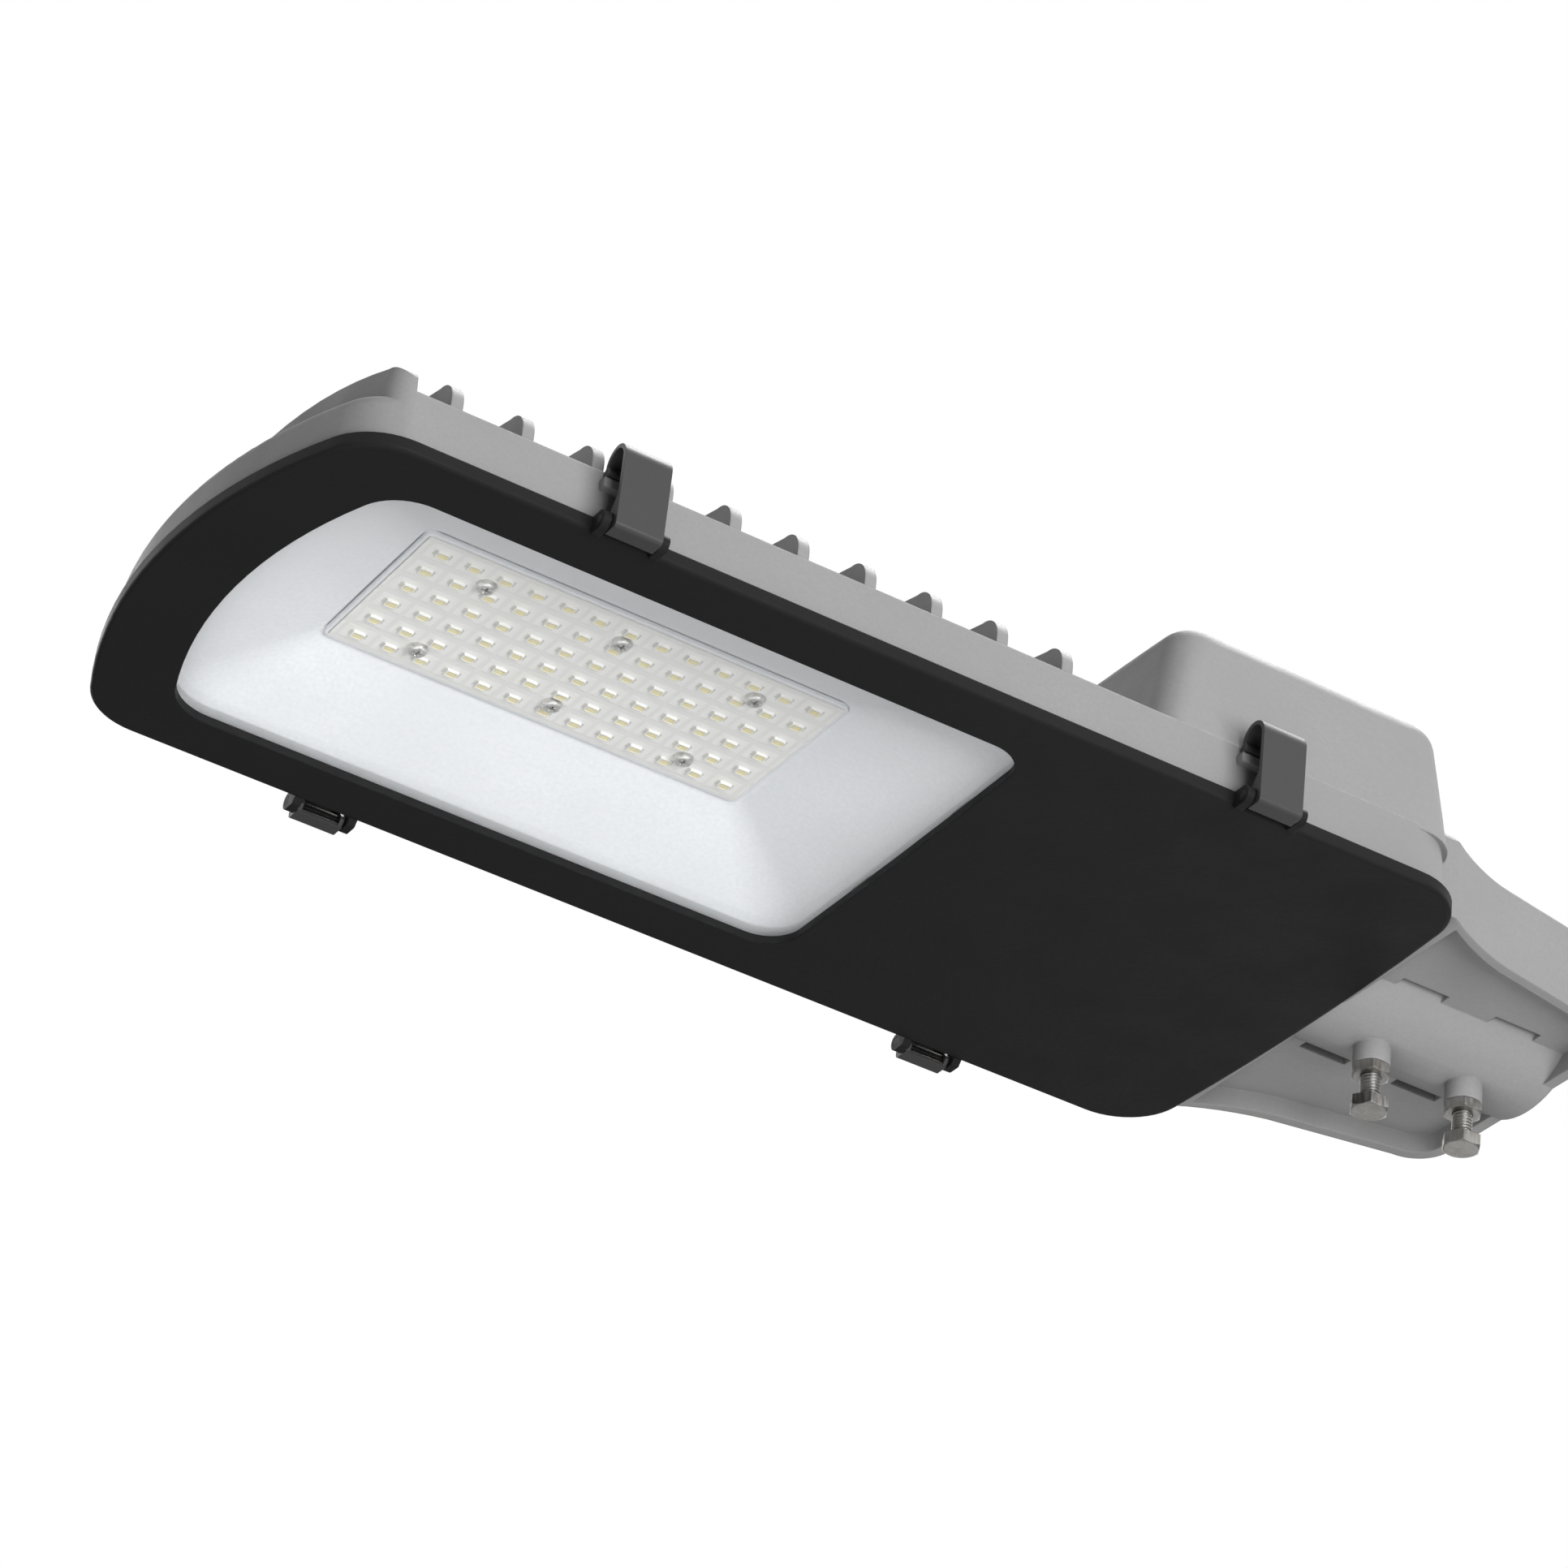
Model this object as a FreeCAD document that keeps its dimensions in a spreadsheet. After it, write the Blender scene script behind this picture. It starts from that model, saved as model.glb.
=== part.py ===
"""LED street light head: cast housing, latched cover frame with its window, LED tray and driver.

Units are millimetres. The origin is the centre of the pole socket's mouth. The nose points
along -X, the pole leaves along +X, +Z is up, and the light shines down.
"""

import FreeCAD, Part
import math
import os

import Sketcher

Vector = FreeCAD.Vector

# Lengths that differ by less are equal
ROUNDING = 1e-6

# Reach of a pad into its neighbour, or of a cut past a face
PAST = "1"

# Beyond every edge of the part
EVERYWHERE = 1000.0

SIZES = [
    # Plan of the head
    ("FrameLength", 355, "cover frame, nose to rear edge"),
    ("FrameWidth", 160, "cover frame, side to side"),
    ("NoseRadius", 180, "bow of the nose in plan"),
    ("NoseCorner", 19, "plan radius of the nose corners"),
    ("RearRadius", 1100, "slight bow of the rear edge in plan"),
    ("RearCorner", 19, "plan radius of the rear corners"),
    ("TailLength", 75, "rear edge of the frame to the socket's mouth"),
    ("AxisHeight", 30.5, "pole axis above the underside"),
    # Cover frame
    ("PlateThickness", 2.5, "cover frame's plate"),
    ("SkirtHeight", 4, "top of the frame's skirt above the underside"),
    ("SkirtWall", 3, "wall of the skirt"),
    ("FrameEdgeRound", 1.2, "round of the frame's lower edge"),
    ("WindowWidth", 126, "window, side to side"),
    ("WindowNoseGap", 22, "frame's nose to the window"),
    ("WindowRearGap", 133, "frame's rear edge to the window"),
    ("WindowNoseRadius", 158, "bow of the window's nose"),
    ("WindowNoseCorner", 15, "plan radius of the window's nose corners"),
    ("WindowRearRadius", 3600, "bow of the window's rear edge"),
    ("WindowRearCorner", 11, "plan radius of the window's rear corners"),
    ("RibWidth", 1.2, "thin ribs inside the frame"),
    ("RibHeight", 3.5, "stiffening ribs above the frame's plate"),
    # Glass, its silicone bead and the housing's seal
    ("GlassThickness", 4, "toughened glass"),
    ("GlassOverlap", 5, "glass beyond the window all round"),
    ("BeadWidth", 2, "silicone bead round the glass"),
    ("SealGap", 0.2, "skirt to the seal"),
    ("SealWidth", 2.6, "flat seal ring between frame and housing"),
    # Housing
    ("WallInset", 1.5, "housing wall inside the frame's outline"),
    ("WallThickness", 3.2, "housing walls"),
    ("WallHeight", 20.5, "top of the side walls above the underside"),
    ("WallDraft", 7, "draft of the side walls, degrees"),
    ("RoofRise", 5, "crown of the roof between the fins"),
    ("RoofThickness", 3.2, "roof over the side walls"),
    ("NoseHeight", 19, "low step of the nose above the underside"),
    ("NoseStep", 15.5, "nose to the front of the finned block, at the middle"),
    ("NoseRound", 4.5, "round of the nose's upper edge"),
    ("BlockBow", 436, "bow of the finned block's front in plan"),
    ("BlockCorner", 10, "plan radius of the finned block's front corners"),
    ("RidgeThickness", 14.5, "ridge at the front of the finned block, at the middle"),
    ("RidgeEndHeight", 28.5, "ridge at the side walls, above the underside"),
    ("RidgeCrown", 10.8, "rise of the ridge from the walls to the middle"),
    ("RidgeRound", 6, "round of the ridge's ends"),
    # Fins
    ("FinCount", 10, "cooling fins"),
    ("FinPitch", 20.1, "fin to fin"),
    ("FirstFin", 313.7, "first fin ahead of the frame's rear edge"),
    ("FinThickness", 3.4, "fin"),
    ("FinRound", 8, "round of the fins' ends"),
    ("FinEndHeight", 31, "fin at the side walls, above the underside"),
    ("FinCrown", 8, "rise of the fins from the walls to the middle"),
    ("FinInset", 2.5, "fin ends inside the side walls' faces"),
    # Driver compartment
    ("BoxFront", 106, "foot of the compartment's front face ahead of the rear edge"),
    ("BoxRear", 2.6, "compartment's rear face ahead of the rear edge"),
    ("BoxHeight", 60, "top of the compartment above the underside"),
    ("BoxFrontLean", 11, "lean of the front face"),
    ("BoxSideLean", 9, "lean of each side face"),
    ("BoxRearLean", 1, "lean of the rear face"),
    ("BoxCorner", 9, "front corners in plan"),
    ("BoxRearCorner", 13, "rear corners in plan"),
    ("BoxEdgeRound", 6, "round of the compartment's upper edges"),
    ("PartitionThickness", 3, "wall between the light chamber and the driver"),
    ("PartitionPlace", 112, "partition's rear face ahead of the frame's rear edge"),
    ("PartitionGap", 6, "bottom of the partition above the underside"),
    # Tail and pole socket
    ("TailShoulder", 67, "half width of the tail where it leaves the head"),
    ("TailWaist", 55.5, "half width after the shoulder's curve"),
    ("TailWaistPlace", 25, "end of the shoulder's curve behind the frame"),
    ("TailEndWidth", 48, "half width near the mouth"),
    ("TailCorner", 11.5, "plan radius of the tail's corners"),
    ("ShoulderRadius", 80, "curve of the shoulder"),
    ("TailHeight", 31, "top of the tail's flanks above the underside"),
    ("TailWall", 3.5, "walls of the tail"),
    ("TailFloor", 10, "face inside the tail above the underside"),
    ("TailBevel", 3, "bevel of the tail's upper edges"),
    ("SlotDepth", 8, "slots beside the barrel"),
    ("SlotInner", 17, "inner side of the slots from the middle"),
    ("SlotOuter", 24.5, "outer side of the slots from the middle"),
    ("SlotLength", 15.5, "slots, each beside a bolt"),
    ("CoreInner", 33, "hollows beside the socket, from the middle"),
    ("SocketRadius", 25, "bore of the pole socket"),
    ("SocketDepth", 63, "mouth to the pole's stop"),
    ("SocketWall", 4, "wall of the socket"),
    ("StopStep", 4, "shoulder that stops the pole"),
    ("FrameGap", 0.5, "barrel to the frame's rear edge"),
    # Clamp bolts
    ("FirstBolt", 22, "rear bolt ahead of the mouth"),
    ("BoltPitch", 31.5, "bolt to bolt"),
    ("BoltRadius", 3, "thread radius"),
    ("BoltClearance", 0.15, "bolt to its hole"),
    ("BoltHexFlat", 10, "across the flats of heads and nuts"),
    ("BoltHeadHeight", 4, "head"),
    ("BoltNutHeight", 3.2, "thin lock nut"),
    ("BoltShow", 7, "bare thread between the lock nut and the head"),
    ("BossRadius", 5.3, "bolt bosses"),
    ("BossDrop", 6, "bosses below the barrel"),
    # Latches
    ("FrontLatch", 265.5, "front latches ahead of the frame's rear edge"),
    ("RearLatch", 72.2, "rear latches ahead of the frame's rear edge"),
    ("LatchWidth", 13.5, "pressed latch"),
    ("LatchSheet", 1.2, "latch sheet"),
    ("PinOut", 4.2, "latch pin outside the frame's edge"),
    ("PinHeight", 1, "latch pin above the underside"),
    ("PinRadius", 1.25, "latch pin"),
    ("PinRunning", 0.05, "running clearance on the pin"),
    ("LugRadius", 2.6, "end of the frame's lugs"),
    ("LugWidth", 2.4, "lugs beside each latch"),
    ("LatchRunning", 0.3, "latch to lug, ledge and wall"),
    ("ArchHeight", 20, "foot of the latch's arch above the underside"),
    ("CurlRadius", 1.5, "rolled lip of the latch"),
    ("CurlDrop", 1.1, "rolled lip below the foot of the arch"),
    ("LipPlace", 0.5, "middle of the rolled lip outside the wall's foot"),
    ("EarHeight", 8, "ears of the latch above the pin"),
    ("LedgeReach", 1.5, "ledge beyond the wall's foot"),
    ("LedgeThickness", 2.6, "ledge that the latch grips"),
    ("LedgeWidth", 15, "ledge along the head"),
    # LED board and tray
    ("BoardLength", 124, "LED board"),
    ("BoardWidth", 57, "LED board"),
    ("BoardThickness", 1.6, "LED board"),
    ("BoardPlace", 232.5, "middle of the board ahead of the frame's rear edge"),
    ("BoardSeat", 20.8, "face that carries the board above the underside"),
    ("SeatMargin", 14, "seat beyond the board"),
    ("ChipColumns", 13, "LEDs along the board"),
    ("ChipRows", 6, "LEDs across the board"),
    ("ChipColumnPitch", 9.3, "LED to LED along the board"),
    ("ChipRowPitch", 9.3, "LED to LED across the board"),
    ("ChipLength", 3.5, "LED"),
    ("ChipWidth", 2.8, "LED"),
    ("ChipHeight", 0.7, "LED"),
    ("BoardScrewPitch", 40.4, "board screws along the board"),
    ("BoardScrewSpread", 37.2, "board screws across the board"),
    ("SmallScrewRadius", 1.5, "small screws"),
    ("SmallHeadRadius", 2.7, "heads of the small screws"),
    ("SmallHeadHeight", 1.8, "heads of the small screws"),
    ("SmallScrewBite", 2.4, "board screws into the roof"),
    ("TrayFlange", 8.2, "tray's flange above the underside"),
    ("TraySheet", 1, "tray sheet"),
    ("TrayOverlap", 6, "tray's flange beyond the window"),
    ("TrayEdge", 1, "tray's lower edge beyond the window"),
    ("TrayClear", 1.3, "tray to the board"),
    ("TrayCorner", 2.5, "corners of the tray's upper opening"),
    ("ClipWidth", 9, "clips that hold the glass"),
    ("ClipSheet", 1.2, "clips that hold the glass"),
    ("ClipFoot", 6, "foot of a clip"),
    ("ClipReach", 3, "clip past the bead, over the glass"),
    ("ClipSpread", 50, "clips of a pair, side to side"),
    ("ClipBite", 1.8, "clip screws into the frame's plate"),
    # Driver and wiring
    ("DriverLength", 102, "driver case, across the head"),
    ("DriverWidth", 46, "driver case, along the head"),
    ("DriverHeight", 28, "driver case"),
    ("DriverRound", 2.5, "edges of the driver case"),
    ("DriverPlace", 66, "middle of the driver ahead of the frame's rear edge"),
    ("CapThickness", 6, "end caps of the driver"),
    ("EarLength", 9, "fixing ears of the driver"),
    ("EarWidth", 12, "fixing ears of the driver"),
    ("EarThickness", 3, "fixing ears of the driver"),
    ("PillarLength", 6, "pillars under the compartment's ceiling"),
    ("PillarRadius", 4.5, "pillars under the compartment's ceiling"),
    ("TerminalLength", 30, "terminal block, across the head"),
    ("TerminalWidth", 14, "terminal block, along the head"),
    ("TerminalHeight", 16, "terminal block"),
    ("TerminalPlace", 28, "middle of the terminal block ahead of the rear edge"),
    ("TerminalSide", 40, "middle of the terminal block from the middle plane"),
    ("TerminalPitch", 9, "terminal to terminal"),
    ("TerminalSink", 1, "terminal screws inside the block's face"),
    ("LeadRadius", 1.6, "driver leads"),
    # Cable gland
    ("GlandRadius", 8, "gland's thread"),
    ("GlandBore", 4.5, "gland's bore"),
    ("GlandFlat", 20, "across the flats of the gland"),
    ("GlandFlange", 4, "gland's hexagon"),
    ("GlandNutLength", 9, "gland's dome nut"),
    ("GlandNutFace", 2, "wall round the dome nut's mouth"),
    ("GlandNutChamfer", 3, "chamfer of the dome nut"),
    ("GlandSealWall", 1.6, "wall of the gland's rubber ring"),
    ("GlandLockNut", 4, "gland's lock nut"),
    ("GlandLockFlat", 22, "across the flats of the lock nut"),
    ("GlandShow", 1.5, "gland's thread beyond the lock nut"),
]

document = FreeCAD.newDocument("street_light_head")
sheet = document.addObject("Spreadsheet::Sheet", "Sizes")
for row, (alias, number, meaning) in enumerate(SIZES, start=1):
    sheet.set(f"A{row}", alias)
    sheet.set(f"B{row}", str(number))
    sheet.set(f"C{row}", meaning)
    sheet.setAlias(f"B{row}", alias)
document.recompute()


def size(alias):
    """A number from the sheet."""
    return float(sheet.get(alias))


def number_of(text):
    """The number that an expression on the sheet gives."""
    result = document.Objects[0].evalExpression(text.replace("Sizes.", ""))
    return float(getattr(result, "Value", result))


def up(height):
    """Z of a height above the underside."""
    return f"({height}) - Sizes.AxisHeight"


def ahead(distance):
    """X of a place ahead of the frame's rear edge."""
    return f"-Sizes.TailLength - ({distance})"


NOSE = ahead("Sizes.FrameLength")
HALF = "Sizes.FrameWidth / 2"


def new_body(label):
    body = document.addObject("PartDesign::Body", label)
    body.Label = label
    return body


def new_sketch(body, name, role="XY_Plane", offset="0"):
    """A sketch on one of the body's own origin planes, moved along the plane's normal."""
    plane = [item for item in body.Origin.OriginFeatures if item.Role == role][0]
    sketch = body.newObject("Sketcher::SketchObject", name)
    sketch.AttachmentSupport = (plane, [""])
    sketch.MapMode = "FlatFace"
    sketch.setExpression("AttachmentOffset.Base.z", offset)
    return sketch


def hold(sketch, kind, places, text):
    """Add one dimension to a sketch and bind it to an expression."""
    index = sketch.addConstraint(Sketcher.Constraint(kind, *places, number_of(text)))
    name = f"size{index}"
    sketch.renameConstraint(index, name)
    sketch.setExpression(f"Constraints.{name}", text)


def draw_circle(sketch, x, y, radius):
    centre = Vector(number_of(x), number_of(y), 0)
    circle = Part.Circle(centre, Vector(0, 0, 1), number_of(radius))
    index = sketch.addGeometry(circle, False)
    hold(sketch, "DistanceX", (-1, 1, index, 3), x)
    hold(sketch, "DistanceY", (-1, 1, index, 3), y)
    hold(sketch, "Radius", (index,), radius)


def bent_edge(start, end, radius):
    """The edge from start to end: straight, or an arc whose centre is left of it (radius > 0)."""
    if radius == 0:
        return Part.LineSegment(start, end)
    chord = end - start
    half = chord.Length / 2
    left = Vector(-chord.y, chord.x, 0).normalize()
    rise = abs(radius) - math.sqrt(max(radius * radius - half * half, 0))
    side = -1 if radius > 0 else 1
    middle = (start + end) * 0.5 + left * (rise * side)
    return Part.Arc(start, middle, end)


def hold_bend(sketch, index, corner, chord):
    """Bind an arc: by its centre on the chord where it is a half circle, else by its radius."""
    radius = number_of(corner[2])
    if abs(chord.Length - 2 * abs(radius)) > ROUNDING:
        hold(sketch, "Radius", (index,), corner[2] if radius > 0 else f"-({corner[2]})")
    elif abs(chord.x) < ROUNDING:
        hold(sketch, "DistanceX", (-1, 1, index, 3), corner[0])
    else:
        hold(sketch, "DistanceY", (-1, 1, index, 3), corner[1])


def draw_profile(sketch, corners):
    """A closed outline. A corner is (x, y), or (x, y, radius) where the edge from it is an arc."""
    first = sketch.GeometryCount
    count = len(corners)
    points = [Vector(number_of(corner[0]), number_of(corner[1]), 0) for corner in corners]
    starts = []
    for place, corner in enumerate(corners):
        radius = number_of(corner[2]) if len(corner) > 2 else 0
        end = points[(place + 1) % count]
        sketch.addGeometry(bent_edge(points[place], end, radius), False)
        starts.append(2 if radius < 0 else 1)
    for place, corner in enumerate(corners):
        index = first + place
        following = (place + 1) % count
        ends = (index, 3 - starts[place], first + following, starts[following])
        sketch.addConstraint(Sketcher.Constraint("Coincident", *ends))
        hold(sketch, "DistanceX", (-1, 1, index, starts[place]), corner[0])
        hold(sketch, "DistanceY", (-1, 1, index, starts[place]), corner[1])
        if len(corner) > 2:
            hold_bend(sketch, index, corner, points[(place + 1) % count] - points[place])


def draw_box(sketch, x0, x1, y0, y1):
    draw_profile(sketch, [(x0, y0), (x1, y0), (x1, y1), (x0, y1)])


def draw_hexagon(sketch, x, y, flat):
    """A hexagon with two flats across the sketch's second axis."""
    reach = f"({flat}) / sqrt(3)"
    corners = [
        (f"({x}) + {reach}", y),
        (f"({x}) + {reach} / 2", f"({y}) + ({flat}) / 2"),
        (f"({x}) - {reach} / 2", f"({y}) + ({flat}) / 2"),
        (f"({x}) - {reach}", y),
        (f"({x}) - {reach} / 2", f"({y}) - ({flat}) / 2"),
        (f"({x}) + {reach} / 2", f"({y}) - ({flat}) / 2"),
    ]
    draw_profile(sketch, corners)


def draw_bowed_outline(sketch, half, nose, nose_radius, nose_corner, rear, rear_radius, rear_corner):
    """The head's plan outline: straight sides, bowed nose and rear, tangent corner arcs."""
    first = sketch.GeometryCount
    width = number_of(half)
    nose_bow, nose_turn = number_of(nose_radius), number_of(nose_corner)
    rear_bow, rear_turn = number_of(rear_radius), number_of(rear_corner)
    nose_centre = Vector(number_of(nose) + nose_bow, 0, 0)
    rear_centre = Vector(number_of(rear) - rear_bow, 0, 0)
    front_x = nose_centre.x - math.sqrt((nose_bow - nose_turn) ** 2 - (width - nose_turn) ** 2)
    back_x = rear_centre.x + math.sqrt((rear_bow - rear_turn) ** 2 - (width - rear_turn) ** 2)
    front = Vector(front_x, width - nose_turn, 0)
    back = Vector(back_x, width - rear_turn, 0)
    nose_end = nose_centre + (front - nose_centre) * (nose_bow / (nose_bow - nose_turn))
    rear_end = rear_centre + (back - rear_centre) * (rear_bow / (rear_bow - rear_turn))

    def corner_middle(centre, touch, turn):
        return centre + ((touch - centre).normalize() + Vector(0, 1, 0)).normalize() * turn

    def mirrored(point):
        return Vector(point.x, -point.y, 0)

    back_side = Vector(back.x, width, 0)
    front_side = Vector(front.x, width, 0)
    back_middle = corner_middle(back, rear_end, rear_turn)
    front_middle = corner_middle(front, nose_end, nose_turn)
    edges = [
        Part.Arc(mirrored(rear_end), rear_centre + Vector(rear_bow, 0, 0), rear_end),
        Part.Arc(rear_end, back_middle, back_side),
        Part.LineSegment(back_side, front_side),
        Part.Arc(front_side, front_middle, nose_end),
        Part.Arc(nose_end, nose_centre - Vector(nose_bow, 0, 0), mirrored(nose_end)),
        Part.Arc(mirrored(nose_end), mirrored(front_middle), mirrored(front_side)),
        Part.LineSegment(mirrored(front_side), mirrored(back_side)),
        Part.Arc(mirrored(back_side), mirrored(back_middle), mirrored(rear_end)),
    ]
    for edge in edges:
        sketch.addGeometry(edge, False)
    for place in range(8):
        following = first + (place + 1) % 8
        sketch.addConstraint(Sketcher.Constraint("Tangent", first + place, 2, following, 1))
    radii = {0: rear_radius, 1: rear_corner, 3: nose_corner, 4: nose_radius, 5: nose_corner, 7: rear_corner}
    for place, text in radii.items():
        hold(sketch, "Radius", (first + place,), text)
    hold(sketch, "DistanceX", (-1, 1, first + 4, 3), f"({nose}) + ({nose_radius})")
    hold(sketch, "DistanceY", (-1, 1, first + 4, 3), "0")
    hold(sketch, "DistanceX", (-1, 1, first, 3), f"({rear}) - ({rear_radius})")
    hold(sketch, "DistanceY", (-1, 1, first, 3), "0")
    for place, side in ((2, half), (6, f"-({half})")):
        sketch.addConstraint(Sketcher.Constraint("Horizontal", first + place))
        hold(sketch, "DistanceY", (-1, 1, first + place, 1), side)


def draw_frame_outline(sketch, inset):
    """The cover frame's outline, moved inwards."""
    draw_bowed_outline(
        sketch,
        f"{HALF} - ({inset})",
        f"{NOSE} + ({inset})",
        f"Sizes.NoseRadius - ({inset})",
        f"Sizes.NoseCorner - ({inset})",
        ahead(inset),
        f"Sizes.RearRadius - ({inset})",
        f"Sizes.RearCorner - ({inset})",
    )


def draw_window_outline(sketch, overlap):
    """The window's outline, moved outwards."""
    draw_bowed_outline(
        sketch,
        f"Sizes.WindowWidth / 2 + ({overlap})",
        f"{NOSE} + Sizes.WindowNoseGap - ({overlap})",
        f"Sizes.WindowNoseRadius + ({overlap})",
        f"Sizes.WindowNoseCorner + ({overlap})",
        f"{ahead('Sizes.WindowRearGap')} + ({overlap})",
        f"Sizes.WindowRearRadius + ({overlap})",
        f"Sizes.WindowRearCorner + ({overlap})",
    )


def finish(body, feature):
    """Make a feature the body's tip, and make sure that it worked."""
    body.Tip = feature
    document.recompute()
    if "Invalid" in feature.State or not body.Shape.isValid():
        raise RuntimeError(f"{feature.Label}: {feature.getStatusString()}")
    return feature


def pad(body, name, sketch, length, reverse=False, both=False, taper=None):
    feature = body.newObject("PartDesign::Pad", name)
    feature.Profile = sketch
    feature.setExpression("Length", length)
    feature.Reversed = reverse
    if both:
        feature.SideType = "Symmetric"
    if taper:
        feature.setExpression("TaperAngle", taper)
    return finish(body, feature)


def pocket(body, name, sketch, length, reverse=False, taper=None):
    """Cut a sketch's outline out of the body, and make sure that something was cut."""
    before = body.Shape.Volume
    feature = body.newObject("PartDesign::Pocket", name)
    feature.Profile = sketch
    feature.setExpression("Length", length)
    feature.Reversed = reverse
    if taper:
        feature.setExpression("TaperAngle", taper)
    finish(body, feature)
    if not body.Shape.Volume < before - ROUNDING:
        raise RuntimeError(f"{name} cut nothing")
    return feature


def loft(body, name, sections, cut=False):
    feature = body.newObject("PartDesign::SubtractiveLoft" if cut else "PartDesign::AdditiveLoft", name)
    feature.Profile = sections[0]
    feature.Sections = sections[1:]
    feature.Ruled = True
    return finish(body, feature)


def fillet(body, name, chosen, radius):
    """Round the edges that the test chooses."""
    base = body.Tip
    names = [f"Edge{place}" for place, edge in enumerate(base.Shape.Edges, start=1) if chosen(edge)]
    if not names:
        raise RuntimeError(f"{name} found no edges")
    feature = body.newObject("PartDesign::Fillet", name)
    feature.Base = (base, names)
    feature.setExpression("Radius", radius)
    return finish(body, feature)


def repeat(body, name, originals, role, length, count):
    """Repeat features along one of the body's own axes, from their place in its positive sense."""
    axis = [item for item in body.Origin.OriginFeatures if item.Role == role][0]
    feature = body.newObject("PartDesign::LinearPattern", name)
    feature.Originals = originals
    feature.Direction = (axis, [""])
    feature.setExpression("Length", length)
    feature.setExpression("Occurrences", count)
    return finish(body, feature)


def mirror(body, name, originals, role="XZ_Plane"):
    plane = [item for item in body.Origin.OriginFeatures if item.Role == role][0]
    feature = body.newObject("PartDesign::Mirrored", name)
    feature.Originals = originals
    feature.MirrorPlane = (plane, [""])
    return finish(body, feature)


def between(value, low, high, slack=0.05):
    return low - slack <= value <= high + slack


def lies_at(edge, low, high):
    """True where an edge's box lies within the corners low and high."""
    box = edge.BoundBox
    spans = ((box.XMin, box.XMax), (box.YMin, box.YMax), (box.ZMin, box.ZMax))
    return all(
        between(span[0], low[axis], high[axis]) and between(span[1], low[axis], high[axis])
        for axis, span in enumerate(spans)
    )


def at_level(height):
    """A test for edges that lie at one height above the underside."""
    level = number_of(up(height))
    return lambda edge: lies_at(edge, (-EVERYWHERE, -EVERYWHERE, level), (EVERYWHERE, EVERYWHERE, level))


def make_housing():
    """The die-cast body: low nose, finned block, driver compartment, tail and pole socket."""
    body = new_body("housing")
    make_block(body)
    make_compartment(body)
    make_fins(body)
    make_tail(body)
    make_hollows(body)
    make_barrel(body)
    make_pillars(body)
    make_ledges(body)
    return body


BLOCK_FRONT = f"{NOSE} + Sizes.NoseStep"
WALL_SLOPE = "tan(Sizes.WallDraft)"
BOX_HALF = f"{HALF} - Sizes.WallInset - (Sizes.WallHeight - Sizes.SkirtHeight - {PAST}) * {WALL_SLOPE}"
FIN_SIDE = f"{HALF} - Sizes.WallInset - Sizes.FinInset"
INNER = "Sizes.WallInset + Sizes.WallThickness"


def draw_block_outline(sketch, inset):
    """The finned block's plan: the frame's sides and rear, and its own bowed front."""
    draw_bowed_outline(
        sketch,
        f"{HALF} - ({inset})",
        f"{BLOCK_FRONT} - Sizes.WallInset + ({inset})",
        f"Sizes.BlockBow - ({inset})",
        f"Sizes.BlockCorner - ({inset})",
        ahead(inset),
        f"Sizes.RearRadius - ({inset})",
        f"Sizes.RearCorner - ({inset})",
    )


def bow_over(width, rise):
    """The radius of an arc over a width that rises by so much in its middle."""
    return f"(({width}) * ({width}) / 4 + ({rise}) * ({rise})) / (2 * ({rise}))"


def arched_top(half, height, rise, end_round):
    """The corners of a top that is bowed across the head and rounded at both ends."""
    inside = f"({half}) - {end_round}"
    shoulder = up(f"{height} - {end_round}")
    return [
        (half, shoulder, end_round),
        (inside, up(height), bow_over(f"2 * ({inside})", rise)),
        (f"-({inside})", up(height), end_round),
        (f"-({half})", shoulder),
    ]


def trim_above(body, name, start, half, top):
    """Cut away all above a top that spans the body's width, from one place along X on."""
    sketch = new_sketch(body, f"{name}_outline", "YZ_Plane", start)
    over = up("Sizes.BoxHeight")
    draw_profile(sketch, top + [(f"-({half})", over), (half, over)])
    pocket(body, name, sketch, "Sizes.FrameLength", reverse=True)


def make_block(body):
    """The low nose with its round, and the finned block's walls, ridge and roof."""
    base = up("Sizes.SkirtHeight")
    outline = new_sketch(body, "housing_outline", offset=base)
    draw_frame_outline(outline, "Sizes.WallInset")
    pad(body, "nose_block", outline, "Sizes.NoseHeight - Sizes.SkirtHeight", taper="-Sizes.WallDraft")
    fillet(body, "nose_round", at_level("Sizes.NoseHeight"), "Sizes.NoseRound")
    block = new_sketch(body, "block_outline", offset=base)
    draw_block_outline(block, "Sizes.WallInset")
    crest = "Sizes.RidgeEndHeight"
    pad(body, "block", block, f"{crest} + Sizes.RidgeCrown - Sizes.SkirtHeight", taper="-Sizes.WallDraft")
    ridge_top = arched_top(BOX_HALF, crest, "Sizes.RidgeCrown", "Sizes.RidgeRound")
    trim_above(body, "ridge_top", NOSE, BOX_HALF, ridge_top)
    wall_top = up("Sizes.WallHeight")
    roof = [(HALF, wall_top, bow_over("Sizes.FrameWidth", "Sizes.RoofRise")), (f"-({HALF})", wall_top)]
    trim_above(body, "roof", f"{BLOCK_FRONT} + Sizes.RidgeThickness", HALF, roof)


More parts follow.
